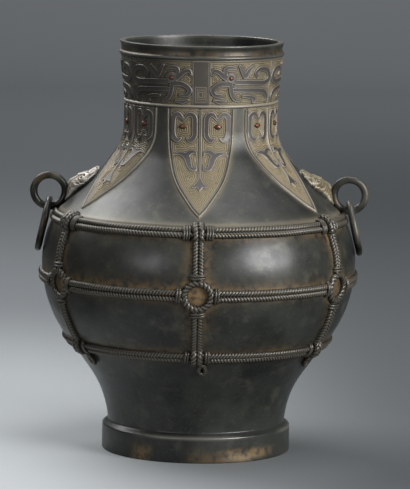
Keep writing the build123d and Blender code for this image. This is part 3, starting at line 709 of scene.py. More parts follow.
def bandRelief(x, y):
    # lift, earth, worn and figure of the band at these places
    side = np.abs(x)
    away = figureField(side, y, dragonStrokes) - band["broader"]
    head = np.hypot(side - band["eye"][0], y - band["eye"][1])
    away = np.minimum(away, head - band["headRadius"])
    panel = 1 - smoothstep(band["panel"] - band["panelFade"], band["panel"] + band["panelFade"], side)
    figure = smoothstep(band["figureEdge"] / 2, -band["figureEdge"] / 2, away) * (1 - panel)
    eyeRing = np.exp(-((head - band["eyeRing"]) / band["eyeRingWide"]) ** 2)
    outline = np.exp(-((away + band["outlineIn"]) / band["outline"]) ** 2) + band["eyeRingShare"] * eyeRing
    outline = np.clip(outline, 0, 1)
    square = np.maximum(side, np.abs(y - band["squareMiddle"]) * band["squareSlim"])
    squares = sum(np.exp(-((square - size) / band["squareWide"]) ** 2) for size in band["squares"])
    squares = squares * panel * (y < band["squareTop"])
    edgeOfBand = np.minimum(y, jar["bandRise"] - y)
    divider = np.abs(side - band["radius"] * math.pi / band["pairs"])
    panelEdge = np.abs(side - band["panel"] - band["frameOut"])
    frameLine = np.minimum(np.minimum(edgeOfBand - band["frameIn"], divider), panelEdge)
    line = 1 - smoothstep(*band["frameEdges"], frameLine)
    contour = np.minimum(np.minimum(away + band["lineStart"], edgeOfBand - band["edgeStart"]), panelEdge)
    ground = (1 - figure) * (1 - panel) * (1 - line)
    ripple = np.cos(2 * math.pi * contour / band["lines"]) * ground
    lift = band["lineDepth"] * ripple + (band["figureLift"] - band["figureDip"] * (1 - outline)) * figure
    lift = lift + band["panelLift"] * panel - band["squareDepth"] * squares
    lift = lift + band["frameLift"] * line * (1 - figure) * (1 - panel)
    lift = lift * smoothstep(0.0, 1.0, edgeOfBand - jar["beadRadius"] * (y < jar["bandRise"] / 2))
    earth = ground * (band["groundEarth"] + band["lineEarth"] * ripple) * earthBesideShadeLine(away)
    earth = earth + band["squareEarth"] * squares
    worn = band["wornOutline"] * outline * figure + band["wornFrame"] * line + band["wornPanel"] * panel
    return lift, np.clip(earth, 0, 1), np.clip(worn, 0, 1), np.maximum(figure, band["panelFigure"] * panel)


def dragonPanel(azimuth):
    count = int(jar["bandRise"] / band["step"])
    up = np.linspace(0, jar["bandRise"], count)
    slope = jar["bandFlare"] / jar["bandRise"]
    line = np.stack([jar["neckRadius"] + slope * up, beadHeight + up], 1)
    bulge = np.sqrt(np.maximum(jar["beadRadius"] ** 2 - up ** 2, 0))     # the upper half of the bead
    line[:, 0] = np.maximum(line[:, 0], jar["neckRadius"] + bulge)
    normals = np.tile(np.array([1, -slope]) / math.hypot(1, slope), (count, 1))
    half = math.pi / band["pairs"]
    offsets = np.linspace(-half, half, int(2 * half * band["radius"] / band["step"]))
    x, y = np.meshgrid(offsets * band["radius"], up)
    lift, earth, worn, figure = bandRelief(x, y)
    # painted shade: the band's earth, wear and figure tone fall away on the left side
    sideLight = neckLitShare(azimuth + offsets)[None]
    worn = np.maximum(worn * sideLight, band["wornBead"] * (up < jar["beadRadius"])[:, None])
    figure = figure * (1 - band["figureSideLight"] + band["figureSideLight"] * sideLight)
    points = sheetPoints(line, normals, azimuth + offsets, lift)
    return {"points": points, "earth": earth * sideLight, "worn": worn, "figure": figure}


# rim: how far its face is hollowed, the rows inside the mouth, worn crowns and earth on the face and inside
lipAndRim = {"hollow": 0.5, "lipEase": 1.0, "insideStep": 2.0, "profileSkip": 24, "mouthRows": 6,
             "lipCrown": 1.5, "mouldingCrown": 1.0, "worn": 0.42, "insideEarth": 0.35, "faceEarth": 0.36,
             "faceFrom": 8}


def rimSheet():
    # moulding, hollow rim face, lip, mouth, ledge and the inside down to the bottom
    bulge = jar["mouldingRadius"]
    arc = np.linspace(-math.pi / 2, math.pi / 2, 13)
    moulding = np.stack([bandTopRadius + bulge * np.cos(arc), rimHeight + bulge + bulge * np.sin(arc)], 1)
    hollow = ((bandTopRadius + rimRadius) / 2 - lipAndRim["hollow"], (moulding[-1, 1] + jarHeight) / 2)
    face = throughPoints([moulding[-1], hollow, (rimRadius, jarHeight - lipAndRim["lipEase"])], 6)
    mouthRadius, insideRadius = rimRadius - jar["lip"], jar["neckRadius"] - jar["wall"]
    floor = jarHeight - jar["mouthDepth"]
    lip = roundedLine([
        tuple(face[-1]), (rimRadius, jarHeight), (mouthRadius, jarHeight), (mouthRadius, floor),
        (mouthRadius - jar["lidLedge"], floor), (insideRadius, beadHeight), (insideRadius, neckHeight),
    ], sheet["cornerRadius"], lipAndRim["insideStep"])
    inner = profile[::-lipAndRim["profileSkip"], :2] - jar["wall"] * profile[::-lipAndRim["profileSkip"], 2:]
    inner = inner[inner[:, 1] < neckHeight - 1.0]
    line = np.vstack([moulding, face[1:-1], lip, inner, [[inner[-1, 0], jar["plateTop"]]]])
    heights, rows = line[:, 1:], np.arange(len(line))[:, None]
    inside = rows >= len(line) - len(inner) - lipAndRim["mouthRows"]
    onFace = (rows > lipAndRim["faceFrom"]) & (rows < len(moulding) + len(face))
    crown = np.exp(-((heights - jarHeight) / lipAndRim["lipCrown"]) ** 2)
    crown = crown + np.exp(-((heights - rimHeight - bulge) / lipAndRim["mouldingCrown"]) ** 2)
    faceEarth = lipAndRim["faceEarth"] * onFace * smoothstep(jarHeight, rimHeight, heights)
    return {"points": sheetPoints(line, lineNormals(line), roundAzimuths(sheet["columns"])),
            "columnsClosed": True, "earth": lipAndRim["insideEarth"] * inside + faceEarth,
            "worn": lipAndRim["worn"] * np.where(inside, 0.0, np.clip(crown, 0, 1))}


def neckBead():
    # lower half of the bead between blades and band
    arc = np.linspace(-math.pi / 2, 0, 8)
    line = np.stack([jar["neckRadius"] + jar["beadRadius"] * np.cos(arc),
                     beadHeight + jar["beadRadius"] * np.sin(arc)], 1)
    return {"points": sheetPoints(line, lineNormals(line), roundAzimuths(sheet["columns"])),
            "columnsClosed": True, "worn": 0.6}


def wallPiece(name, grid, finish):
    gridPiece(name, [grid], finish, "vessel", ["vessel_body"])


def makeWall():
    wallPiece("lower_wall", lowerWall(), bronzeWall)
    wallPiece("belly_wall", bellyWall(), bronzeWall)
    for bay, azimuth in enumerate(bayAzimuths, start=1):
        wallPiece(f"blade_panel_{bay}", bladePanel(azimuth), bronzeOrnament)
    wallPiece("neck_bead", neckBead(), bronzeWall)
    for pair in range(band["pairs"]):
        azimuth = frontAzimuth + pair * 2 * math.pi / band["pairs"]
        wallPiece(f"dragon_panel_{pair + 1}", dragonPanel(azimuth), bronzeOrnament)
    wallPiece("rim_and_inside", rimSheet(), bronzeWall)


makeWall()
print("wall made")


# ropework

def ropeGrid(path, out, radius, lay, hand, closed=False, groove=net["groove"], sides=net["sides"]):
    # a laid cord along a path; out is the direction away from the wall
    ahead, behind = np.roll(path, -1, 0), np.roll(path, 1, 0)
    if not closed:
        ahead[-1], behind[0] = path[-1], path[0]
    along = ahead - behind
    along /= np.linalg.norm(along, axis=1)[:, None]
    across = np.cross(along, out)
    across /= np.linalg.norm(across, axis=1)[:, None]
    out = np.cross(across, along)
    steps = np.linalg.norm(np.diff(path, axis=0), axis=1)
    travelled = np.concatenate([[0], np.cumsum(steps)])
    strands = net["strands"]
    if closed:      # a whole number of strands goes round
        total = travelled[-1] + np.linalg.norm(path[0] - path[-1])
        lay = total / round(total / lay * strands) * strands
    angle = np.arange(sides) / sides * 2 * math.pi
    lobe = np.abs(np.cos(strands / 2 * (angle[None] - hand * 2 * math.pi * travelled[:, None] / lay)))
    reach = radius * (1 - groove * (1 - lobe) ** net["layRound"])
    if not closed:
        fromEnd = np.minimum(np.arange(len(path)), np.arange(len(path))[::-1])
        reach = reach * np.interp(fromEnd, range(len(net["cutEnd"])), net["cutEnd"])[:, None]
    points = path[:, None] + reach[..., None] * (
        np.cos(angle)[None, :, None] * out[:, None] + np.sin(angle)[None, :, None] * across[:, None])
    crown = np.clip(np.cos(angle), 0, 1)[None] * lobe
    # painted shade: the figure field darkens the lay's grooves between the strands
    return {"points": points, "rowsClosed": closed, "columnsClosed": True, "capped": not closed,
            "earth": net["flankEarth"] * (np.cos(angle)[None] < net["flankFrom"]), "worn": crown ** 2,
            "figure": np.clip(net["layShade"] * (1 - lobe), 0, 1)}


def strapCentre(run, offset, lift, azimuths):
    # cords lie side by side on the wall's slope at the middle of the strap
    radius, height, normalR, normalZ = wallAt(run)
    reach = radius + normalR * lift - normalZ * offset
    return np.stack([reach * np.cos(azimuths), reach * np.sin(azimuths),
                     height + normalZ * lift + normalR * offset], -1)


def strapCords(run, clear=0.0):
    # the two cords of a strap: all round the jar, or in lengths that end this far from each knot
    radius = float(wallAt(run)[0])
    spans = [roundAzimuths(int(2 * math.pi * radius / net["step"]))]
    if clear:
        count = int(2 * math.pi / bays * radius / net["step"])
        spans = [np.linspace(azimuth + clear / radius, azimuth + 2 * math.pi / bays - clear / radius, count)
                 for azimuth in bayAzimuths]
    size, seed = net["strapLumps"]
    aside, lifted = net["strapWander"]
    grids = []
    for azimuths in spans:
        for side, hand in cordPair:
            wander = net["wander"] * lumps(onWall(run, 0, 0, azimuths), size, seed + side)
            offset = side * net["cordApart"] / 2 + aside * wander
            centre = strapCentre(run, offset, net["cordLift"] + lifted * wander, azimuths)
            grids.append(ropeGrid(centre, wallNormal(run, 0, azimuths), net["cordRadius"], net["lay"], hand,
                                  closed=not clear))
    return grids


def uprightCords(azimuth, low, high):
    runs = np.linspace(low, high, max(int((high - low) / net["step"]), 8))
    size, seed = net["uprightLumps"]
    aside, lifted = net["uprightWander"]
    grids = []
    for side, hand in cordPair:
        offset = side * net["cordApart"] / 2
        wander = net["wander"] * lumps(onWall(runs, offset, 0, azimuth), size, seed + side)
        path = onWall(runs, offset + aside * wander, net["cordLift"] + lifted * wander, azimuth)
        grids.append(ropeGrid(path, wallNormal(runs, 0, azimuth), net["cordRadius"], net["lay"], hand))
    return grids


wrap = {"radius": 1.25, "pitch": 2.2, "halfSpan": 6.0, "height": 3.9, "points": 30, "sides": 10, "lay": 5.0,
        "from": -14, "to": 194, "lean": 0.06}


def wrapTurns(run, azimuth, starts, alongStrap):
    # turns of thin cord wound over a doubled cord; starts are how far each turn lies from the crossing
    angle = np.linspace(math.radians(wrap["from"]), math.radians(wrap["to"]), wrap["points"])
    span = wrap["halfSpan"] * np.cos(angle)
    height = wrap["height"] * np.sin(angle)
    lean = wrap["lean"] * span
    grids = []
    for start in starts:
        if alongStrap:
            path = onWall(run + span, start + lean, height, azimuth)
            out = wallNormal(run + span, start, azimuth)
        else:
            path = onWall(run + start + lean, span, height, azimuth)
            out = wallNormal(run + start, span, azimuth)
        away = path - path.mean(0)
        out = out + away / np.linalg.norm(away, axis=1)[:, None]
        grids.append(ropeGrid(path, out, wrap["radius"], wrap["lay"], 1, sides=wrap["sides"],
                              groove=net["wrapGroove"]))
    return grids


def turnPlaces(sign, first, count):
    return [sign * (first + wrap["pitch"] * number) for number in range(count)]


def knotRing(azimuth):
    # wrapped ring where the belly strap is crossed, with four bindings
    turn = np.arange(net["ringSteps"]) / net["ringSteps"] * 2 * math.pi
    side, up = net["ringRadius"] * np.cos(turn), net["ringRadius"] * np.sin(turn)
    path = onWall(net["bellyRun"] + up, side, net["ringLift"], azimuth)
    out = wallNormal(net["bellyRun"] + up, side, azimuth)
    grids = [ropeGrid(path, out, net["ringTube"], net["ringLay"], 1, closed=True, groove=net["wrapGroove"])]
    first = net["ringRadius"] + net["ringTube"] + net["bindingGap"]
    for sign in (-1, 1):
        places = turnPlaces(sign, first, net["bindingTurns"])
        for alongStrap in (True, False):
            grids += wrapTurns(net["bellyRun"], azimuth, places, alongStrap)
    return grids


# a knot's cord over the strap, as steps up the wall and out of it; the lower strap's knots are shorter below
overKnot = {"way": [(-8.6, -0.8), (-7.6, 1.2), (-5.0, 3.8), (0.0, 5.2), (5.0, 3.8), (7.6, 1.2), (8.6, -0.8)],
            "cord": 2.8, "lay": 9.0, "wrapFrom": 7.4, "wraps": 3, "pendantWraps": 2, "pendantBelow": 0.75}


def crossingKnot(run, azimuth, wraps, below=1.0):
    # the upright's cords carried over the strap, with turns of thin cord on the strap each side
    way = throughPoints(overKnot["way"], 7)
    way[:, 0] *= np.where(way[:, 0] < 0, below, 1.0)
    grids = []
    for side, hand in cordPair:
        offset = side * net["cordApart"] / 2
        path = onWall(run + way[:, 0], offset, way[:, 1], azimuth)
        out = wallNormal(run + way[:, 0], offset, azimuth)
        grids.append(ropeGrid(path, out, overKnot["cord"], overKnot["lay"], hand))
    for sign in (-1, 1):
        grids += wrapTurns(run, azimuth, turnPlaces(sign, overKnot["wrapFrom"], wraps), True)
    return grids


drop = {"width": 9.0, "length": 14.0, "tube": 1.75, "down": 13.0, "lift": 2.1, "aside": 4.6, "narrow": 0.28,
        "lay": 9.0, "groove": 0.06, "steps": 64, "sides": 12}


def dropLoop(azimuth):
    turn = np.linspace(0, 2 * math.pi, drop["steps"], endpoint=False)
    narrow = 1 - drop["narrow"] * np.sin(turn)            # narrower at the top, as it hangs
    side = drop["aside"] + (drop["width"] / 2 - drop["tube"]) * np.cos(turn) * narrow
    up = (drop["length"] / 2 - drop["tube"]) * np.sin(turn)
    runs = net["lowerRun"] - drop["down"] + up
    path = onWall(runs, side, drop["lift"], azimuth)
    return ropeGrid(path, wallNormal(runs, side, azimuth), drop["tube"], drop["lay"], 1, closed=True,
                    groove=drop["groove"], sides=drop["sides"])


def makeNet():
    shoulder, belly, lower = net["shoulderRun"], net["bellyRun"], net["lowerRun"]
    straps = {"shoulder_strap": strapCords(shoulder), "lower_strap": strapCords(lower),
              "belly_strap": strapCords(belly, net["ringRadius"] + net["ringOverlap"])}
    for name, cords in straps.items():
        gridPiece(name + "_cords", cords, bronzeCord, "vessel", [name])
    clear, overlap = net["knotReach"], net["knotOverlap"]
    for bay, azimuth in enumerate(bayAzimuths, start=1):
        pendant = crossingKnot(lower, azimuth, overKnot["pendantWraps"], overKnot["pendantBelow"])
        pieces = {
            "upper_cord": uprightCords(azimuth, belly + net["ringRadius"], shoulder - clear + overlap),
            "lower_cord": uprightCords(azimuth, lower + clear - overlap, belly - net["ringRadius"]),
            "knot_ring": knotRing(azimuth),
            "shoulder_knot": crossingKnot(shoulder, azimuth, overKnot["wraps"]),
            "pendant_knot": pendant + [dropLoop(azimuth)],
        }
        for name, grids in pieces.items():
            gridPiece(f"{name}_rope_{bay}", grids, bronzeCord, "vessel", [f"{name}_{bay}"])


makeNet()
print("net made")


# handles: mask as a carved relief on the shoulder, s across it and t up the wall, then loop and ring

mask = {
    "run": runAt(crestHeight + 19.6), "step": 0.3, "side": 19.0, "low": -25.5, "high": 20.7, "skirt": -1.2,
    "outline": [(-22.6, 3.0), (-19.0, 5.8), (-13.0, 7.6), (-7.5, 10.4), (-1.0, 15.0), (6.0, 17.0),
                (12.0, 16.0), (17.0, 11.6), (20.0, 4.4)],
    "spine": [(-22.6, 1.6), (-18.0, 5.2), (-12.5, 9.2), (-7.0, 10.9), (1.9, 8.6), (8.7, 5.4), (16.0, 2.4),
              (20.0, 1.2)],
    "edges": [(-22.6, 0.6), (-16.0, 0.9), (-10.0, 1.4), (-4.0, 1.8), (12.0, 1.5), (20.0, 0.9)],
    "round": 0.8, "rim": 0.7, "rimIn": 1.1, "rimWide": 0.7, "rimWorn": 0.9, "edgeShade": 0.35,
    "strokeFade": (0.5, -1.1), "figureFade": (0.0, 1.5), "whiskerFade": (0.6, 2.0), "grooveFade": (0.8, 2.0),
    "eye": (11.2, 2.2), "eyeRadius": 3.3, "eyeHeight": 2.3, "pupil": 1.25, "pupilDepth": 1.5,
    "lid": 5.0, "lidWide": 0.6, "lidHeight": 1.2, "eyeLine": 2.2, "eyeLineHalf": 0.8,
    "whiskers": (-6.2, -9.6, -13.0, -16.4), "whiskerLean": 0.45, "whiskerFrom": 6, "whiskerWide": 0.5,
    "whiskerSide": (2.8, 4.4), "whiskerDepth": 0.7, "whiskerShade": 0.9,
    "grooveOut": 0.8, "grooveWide": 0.6, "grooveDepth": 0.5, "grooveShade": 0.95,
    "hollowLift": 1.4, "hollowEarth": 0.6, "wornLift": 2.0, "wornShare": 0.8,
}
# strokes of half the face: points, half widths, height
maskStrokes = [
    ([(2.6, 1.6), (6.4, 7.0), (11.6, 7.4), (15.4, 2.2)], [1.2, 1.7, 1.7, 0.8], 2.0),
    ([(15.2, -1.6), (12.4, -5.4), (9.0, -6.6), (6.6, -5.0)], [1.0, 1.4, 1.2, 0.6], 1.5),
    ([(0.0, 19.0), (0.0, 8.0), (0.0, -4.0), (0.0, -10.0)], [0.8, 1.5, 1.8, 2.4], 1.2),
]
hornCurl = {"centre": (8.4, 13.0), "from": -70.0, "to": 420.0, "outer": 4.9, "inner": 1.2, "width": 1.3,
            "height": 1.6, "points": 60}


def domed(away, radius, height):
    return height * np.sqrt(np.clip(1 - (away / radius) ** 2, 0, 1))


def maskRelief(s, t):
    # lift, earth, worn and painted shade of the beast's head, domed over its nose ridge; the painted shade
    # lies in the pupil, the grooves and on the side wall under the edge
    side = np.abs(s)
    rise, half = throughPoints(mask["outline"], 6).T
    width = np.interp(t, rise, half)
    inside = np.minimum(width - side, np.minimum(t - rise[0], rise[-1] - t))
    spine = np.interp(t, *np.array(mask["spine"]).T)
    edge = np.interp(t, *np.array(mask["edges"]).T)
    base = edge + (spine - edge) * (1 - np.clip(side / width, 0, 1) ** 2) ** mask["round"]
    figure = np.zeros(np.shape(s))
    beside = np.full(np.shape(s), farAway)
    for points, widths, height in maskStrokes:
        away = strokeDistance(side, t, points, widths)
        beside = np.minimum(beside, away)
        figure = np.maximum(figure, height * smoothstep(*mask["strokeFade"], away))
    turn = np.radians(np.linspace(hornCurl["from"], hornCurl["to"], hornCurl["points"]))
    reach = np.linspace(hornCurl["outer"], hornCurl["inner"], hornCurl["points"])
    curlS, curlT = hornCurl["centre"]
    away = lineDistance(side, t, np.stack([curlS + reach * np.cos(turn), curlT + reach * np.sin(turn)], 1))
    beside = np.minimum(beside, away - hornCurl["width"])
    figure = np.maximum(figure, domed(away, hornCurl["width"], hornCurl["height"]))
    eyeAway = np.hypot(side - mask["eye"][0], t - mask["eye"][1])
    figure = np.maximum(figure, domed(eyeAway, mask["eyeRadius"], mask["eyeHeight"]))
    lid = np.exp(-((eyeAway - mask["lid"]) / mask["lidWide"]) ** 2)
    figure = np.maximum(figure, mask["lidHeight"] * lid)
    beside = np.minimum(beside, np.abs(eyeAway - mask["eyeLine"]) - mask["eyeLineHalf"])
    groove = np.exp(-((beside - mask["grooveOut"]) / mask["grooveWide"]) ** 2)
    pupil = np.exp(-(eyeAway / mask["pupil"]) ** 4)
    whisker = np.zeros(np.shape(s))
    for low in mask["whiskers"]:
        above = t - low + mask["whiskerLean"] * (side - mask["whiskerFrom"])
        stripe = np.exp(-(above / mask["whiskerWide"]) ** 2) * smoothstep(*mask["whiskerSide"], side)
        whisker = np.maximum(whisker, stripe)
    whisker = whisker * smoothstep(*mask["whiskerFade"], inside) * (1 - np.clip(figure, 0, 1))
    border = np.exp(-((inside - mask["rimIn"]) / mask["rimWide"]) ** 2)
    lift = base + figure * smoothstep(*mask["figureFade"], inside) - mask["whiskerDepth"] * whisker
    lift = lift - mask["pupilDepth"] * pupil - mask["grooveDepth"] * groove + mask["rim"] * border
    lift = np.where(inside < 0.0, mask["skirt"], lift)
    hollow = np.clip(1 - figure / mask["hollowLift"], 0, 1) * (1 - border) * smoothstep(0, 2, inside)
    # painted shade, near black in the mask finish: pupil, whisker grooves, grooves round the strokes and the
    # side wall below the edge
    dark = pupil + mask["whiskerShade"] * whisker
    dark = dark + mask["grooveShade"] * groove * smoothstep(*mask["grooveFade"], inside)
    dark = dark + (inside < mask["edgeShade"])
    worn = np.clip(figure / mask["wornLift"], 0, 1) ** 1.5 * mask["wornShare"] + mask["rimWorn"] * border
    return lift, np.clip(mask["hollowEarth"] * hollow, 0, 1), worn, np.clip(dark, 0, 1)


def beastMask(azimuth):
    s, t = np.meshgrid(np.arange(-mask["side"], mask["side"] + 0.01, mask["step"]),
                       np.arange(mask["low"], mask["high"] + 0.01, mask["step"]))
    lift, earth, worn, dark = maskRelief(s, t)
    points = onWall(mask["run"] + t, s, lift, azimuth)
    # the painted shade goes out as the figure field
    return {"points": points, "earth": earth, "worn": worn * (1 - dark), "figure": dark,
            "keep": lift > mask["skirt"]}


# loop and ring: smooth, so the lay doesn't show, with lump sizes for swelling, pitting, earth and wear
handle = {"loopRadius": 13.8, "loopTube": 3.3, "ringRadius": 22.0, "ringTube": 2.85, "steps": 160,
          "sides": 28, "lay": 400.0, "uneven": 0.16, "swellLumps": 9.0, "pits": 0.05, "pitLumps": 3.0,
          "earth": 0.6, "earthLumps": 6.0, "wornLumps": 14.0}


def wornRing(centre, axis, radius, tube, seed):
    # a cast ring, a little uneven in thickness
    axis = np.asarray(axis, float)
    first = np.cross(axis, [0.0, 0.0, 1.0])
    first = first / np.linalg.norm(first)
    second = np.cross(axis, first)
    turn = np.arange(handle["steps"]) / handle["steps"] * 2 * math.pi
    out = np.cos(turn)[:, None] * first + np.sin(turn)[:, None] * second
    path = centre + radius * out
    grid = ropeGrid(path, out, tube, handle["lay"], 1, closed=True, groove=0.0, sides=handle["sides"])
    points = grid["points"]
    swell = handle["uneven"] * lumps(points, handle["swellLumps"], seed)
    swell = swell + handle["pits"] * lumps(points, handle["pitLumps"], seed + 1)
    grid["points"] = path[:, None] + (points - path[:, None]) * (1 + swell / tube)[..., None]
    grid["earth"] = np.clip(lumps(points, handle["earthLumps"], seed + 2), 0, 1) * handle["earth"]
    grid["worn"] = np.clip(lumps(points, handle["wornLumps"], seed + 3), 0, 1)
    return grid


def nodeMiddle(node):
    low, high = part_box(node)
    return np.array((low + high) / 2) / metres


def ringAxis(node, jointName):
    # the free ring's own axis, from its centre and its pivot
    joint = [j for j in frame["joints"] if j["name"] == jointName][0]
    pivot = np.array(joint["pos_m"]) / metres
    hang = nodeMiddle(node) - pivot
    axis = np.cross(hang, [0.0, 1.0, 0.0])
    return axis / np.linalg.norm(axis)


def makeHandles():
    for side, azimuth, seed in (("left", math.pi, 61), ("right", 0.0, 71)):
        gridPiece(f"{side}_mask_relief", [beastMask(azimuth)], bronzeMasks[side], "vessel", [f"{side}_mask"])
        loop = wornRing(nodeMiddle(f"{side}_loop"), (0, 1, 0), handle["loopRadius"], handle["loopTube"], seed)
        gridPiece(f"{side}_loop_cast", [loop], bronzeRing, "vessel", [f"{side}_loop"])
        ring = wornRing(nodeMiddle(f"{side}_ring"), ringAxis(f"{side}_ring", f"{side}_ring_swing"),
                        handle["ringRadius"], handle["ringTube"], seed + 5)
        gridPiece(f"{side}_ring_cast", [ring], bronzeRing, f"{side}_ring", [f"{side}_ring"])


makeHandles()
print("handles made")


# copper studs: eyes of the blades and of the dragons
stud = {"bladeAcross": 3.5, "bladeTall": 2.3, "bladeTurn": 13.0, "bladeDown": 17.0, "bladeSeat": 0.9,
        "bladeDome": 1.6, "dragonAcross": 2.1, "dragonTurn": 21.6, "dragonSeat": 0.7, "dragonDome": 1.2,
        "almond": 0.16, "skirt": 1.2, "worn": 0.6, "rings": 9, "sides": 28}


def studGrid(centre, normal, across, tall, dome):
    up = np.array([0.0, 0.0, 1.0]) - normal * normal[2]
    up /= np.linalg.norm(up)
    sideways = np.cross(up, normal)
    angle = np.arange(stud["sides"]) / stud["sides"] * 2 * math.pi
    share = np.linspace(1, 0.03, stud["rings"])[:, None]
    height = dome * np.sqrt(np.clip(1.02 - share ** 2, 0, 1))
    lens = 1 - stud["almond"] * np.sin(2 * angle) ** 2         # pinched a little, like an almond
    points = (centre + (across * share * np.cos(angle) * lens)[..., None] * sideways
              + (tall * share * np.sin(angle) * lens)[..., None] * up + height[..., None] * normal)
    skirt = points[:1] - normal * stud["skirt"]
    fromMiddle = np.concatenate([[[1.0]], share])
    return {"points": np.concatenate([skirt, points]), "columnsClosed": True, "capped": True,
            "earth": fromMiddle ** 4, "worn": stud["worn"] * (1 - fromMiddle)}


def makeStuds():
    grids = []
    run = runAt(beadHeight - stud["bladeDown"])
    for azimuth in bayAzimuths:
        for side in (-1, 1):
            turned = azimuth + side * math.radians(stud["bladeTurn"])
            centre, normal = onWall(run, 0.0, stud["bladeSeat"], turned), wallNormal(run, 0.0, turned)
            grids.append(studGrid(centre, normal, stud["bladeAcross"], stud["bladeTall"], stud["bladeDome"]))
    gridPiece("blade_eye_studs", grids, copperEye, "vessel", ["blade_eyes"])
    grids = []
    slope = jar["bandFlare"] / jar["bandRise"]
    eyeUp, across = band["eye"][1], stud["dragonAcross"]
    reach = jar["neckRadius"] + slope * eyeUp + stud["dragonSeat"]
    for pair in range(band["pairs"]):
        azimuth = frontAzimuth + pair * 2 * math.pi / band["pairs"]
        for side in (-1, 1):
            turned = azimuth + side * math.radians(stud["dragonTurn"])
            centre = np.array([reach * math.cos(turned), reach * math.sin(turned), beadHeight + eyeUp])
            normal = np.array([math.cos(turned), math.sin(turned), -slope]) / math.hypot(1, slope)
            grids.append(studGrid(centre, normal, across, across, stud["dragonDome"]))
    gridPiece("dragon_eye_studs", grids, copperEye, "vessel", ["dragon_eyes"])


makeStuds()
plate = frame["nodes"]["base_plate"]
plate.data.materials.clear()
plate.data.materials.append(bronzeWall)
print("studs and bottom plate finished")


# grey paper floor curving up into a backdrop, soft boxes and a camera at the photograph's angle; in metres
studio = {
    "world": "#b9bec2", "worldStrength": 0.12,
    "behind": 3.6, "turn": 0.9, "high": 3.0, "wide": 6.0, "near": -6.0, "turnPoints": 16,
    # the paper's tone near the jar, then each change of tone: direction, where it starts and ends, new tone;
    # these are painted shading: shade to the back, the jar's shadow to the right, a lighter backdrop far
    # back, and darker paper in front and to the left outside the picture
    "paper": "#989c9e", "paperRough": 0.9,
    "paintedShading": [
        ((0.0, 1.0, 0.0), 0.0, 0.9, "#5d6164"),
        ((1.0, 0.0, 0.0), -0.2, 0.22, "#3f4345"),
        ((0.0, 1.0, 0.0), 1.6, 4.2, "#7a7e81"),
        ((0.0, 1.0, 0.0), -0.26, -0.5, "#37393b"),
        ((1.0, 0.06, 0.0), -0.18, -0.36, "#46484a"),
    ],
}


def gradedPaper():
    # matt grey paper with painted shading: a painted shadow to the right, painted shade to the back and
    # outside the picture, the far backdrop painted lighter
    paper = bpy.data.materials.new("mattPaperPaintedShading")
    paper.use_nodes = True
    tree = paper.node_tree
    tree.nodes.clear()
    place = addNode(tree, "ShaderNodeNewGeometry").outputs["Position"]
    colour = None
    for direction, start, end, tone in studio["paintedShading"]:
        along = addNode(tree, "ShaderNodeVectorMath", {"operation": "DOT_PRODUCT"}, {1: direction}, {
            0: place})
        share = addNode(tree, "ShaderNodeMapRange", {"interpolation_type": "SMOOTHSTEP"}, {
            "From Min": start, "From Max": end}, {"Value": along.outputs["Value"]})
        mixer = addNode(tree, "ShaderNodeMix", {"data_type": "RGBA"}, {
            6: linearColour(studio["paper"]), 7: linearColour(tone)}, {0: share.outputs["Result"]})
        if colour:
            tree.links.new(colour, mixer.inputs[6])
        colour = mixer.outputs[2]
    shader = addNode(tree, "ShaderNodeBsdfPrincipled", values={"Roughness": studio["paperRough"]}, links={
        "Base Color": colour})
    addNode(tree, "ShaderNodeOutputMaterial", links={"Surface": shader.outputs["BSDF"]})
    return paper


def makeStage():
    behind, turn = studio["behind"], studio["turn"]
    line = [(studio["near"], 0.0), (0.0, 0.0)]
    for angle in np.linspace(0, math.pi / 2, studio["turnPoints"]):
        line.append((behind + turn * math.sin(angle), turn * (1 - math.cos(angle))))
    line.append((behind + turn, studio["high"]))
    points = [(side * studio["wide"], y, z) for y, z in line for side in (-1, 1)]
    faces = [(2 * row, 2 * row + 1, 2 * row + 3, 2 * row + 2) for row in range(len(line) - 1)]
    mesh = bpy.data.meshes.new("floor_sheet")
    mesh.from_pydata(points, [], faces)
    mesh.polygons.foreach_set("use_smooth", [True] * len(faces))
    floor = bpy.data.objects.new("floor_sheet", mesh)
    bpy.context.scene.collection.objects.link(floor)
    mesh.materials.append(gradedPaper())
    world = bpy.data.worlds.new("studioWorld")
    world.use_nodes = True
    sky = world.node_tree.nodes["Background"]
    sky.inputs["Color"].default_value = linearColour(studio["world"])
    sky.inputs["Strength"].default_value = studio["worldStrength"]
    bpy.context.scene.world = world


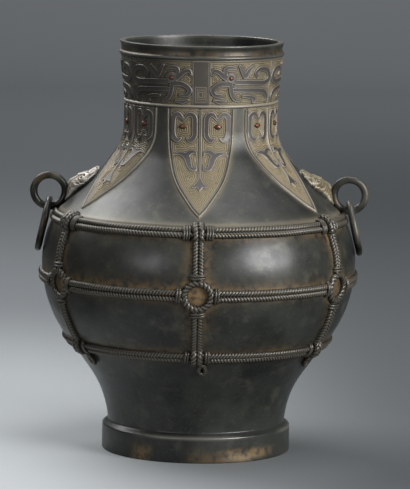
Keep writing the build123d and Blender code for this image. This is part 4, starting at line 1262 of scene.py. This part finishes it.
lamps = {
    "rightBox": {"at": (1.32, -1.1, 0.7), "aim": (0.0, 0.0, 0.22), "size": (0.85, 0.7), "power": 48.0},
    "leftBackBox": {"at": (-0.75, 0.7, 1.35), "aim": (0.0, 0.0, 0.2), "size": (1.4, 1.0), "power": 34.0},
    "overBox": {"at": (0.3, -0.1, 1.6), "aim": (0.0, 0.0, 0.2), "size": (1.4, 0.9), "power": 16.0},
    "frontBox": {"at": (-1.05, -1.55, 0.62), "aim": (0.0, 0.0, 0.2), "size": (0.9, 0.5), "power": 7.5},
    "backdropBox": {"at": (0.1, 2.2, 2.4), "aim": (0.1, 4.4, 0.3), "size": (3.0, 0.6), "power": 45.0},
}


def makeLamps():
    for name, lamp in lamps.items():
        data = bpy.data.lights.new(name, "AREA")
        data.shape = "RECTANGLE"
        data.size, data.size_y = lamp["size"]
        data.energy = lamp["power"]
        light = bpy.data.objects.new(name, data)
        light.location = lamp["at"]
        light.rotation_euler = (Vector(lamp["aim"]) - Vector(lamp["at"])).to_track_quat("-Z", "Y").to_euler()
        bpy.context.scene.collection.objects.link(light)


view = {"aim": (0.0055, 0.0, 0.1804), "distance": 3.25, "elevation": 7.4, "roll": 0.94,
        "lens": 272.0, "sensor": 36.0, "clipEnd": 20.0}


def makeCamera():
    tilt = math.radians(view["elevation"])
    data = bpy.data.cameras.new("camera")
    data.lens, data.sensor_fit, data.sensor_height = view["lens"], "VERTICAL", view["sensor"]
    data.clip_end = view["clipEnd"]
    camera = bpy.data.objects.new("camera", data)
    aim = Vector(view["aim"])
    place = aim + view["distance"] * Vector((0, -math.cos(tilt), math.sin(tilt)))
    facing = (aim - place).to_track_quat("-Z", "Y").to_matrix().to_4x4()
    roll = Matrix.Rotation(math.radians(view["roll"]), 4, "Z")
    camera.matrix_world = Matrix.Translation(place) @ facing @ roll
    bpy.context.scene.collection.objects.link(camera)
    bpy.context.scene.camera = camera


makeStage()
makeLamps()
makeCamera()
bpy.context.scene.view_settings.view_transform = "Standard"
print("stage, lamps and camera set")
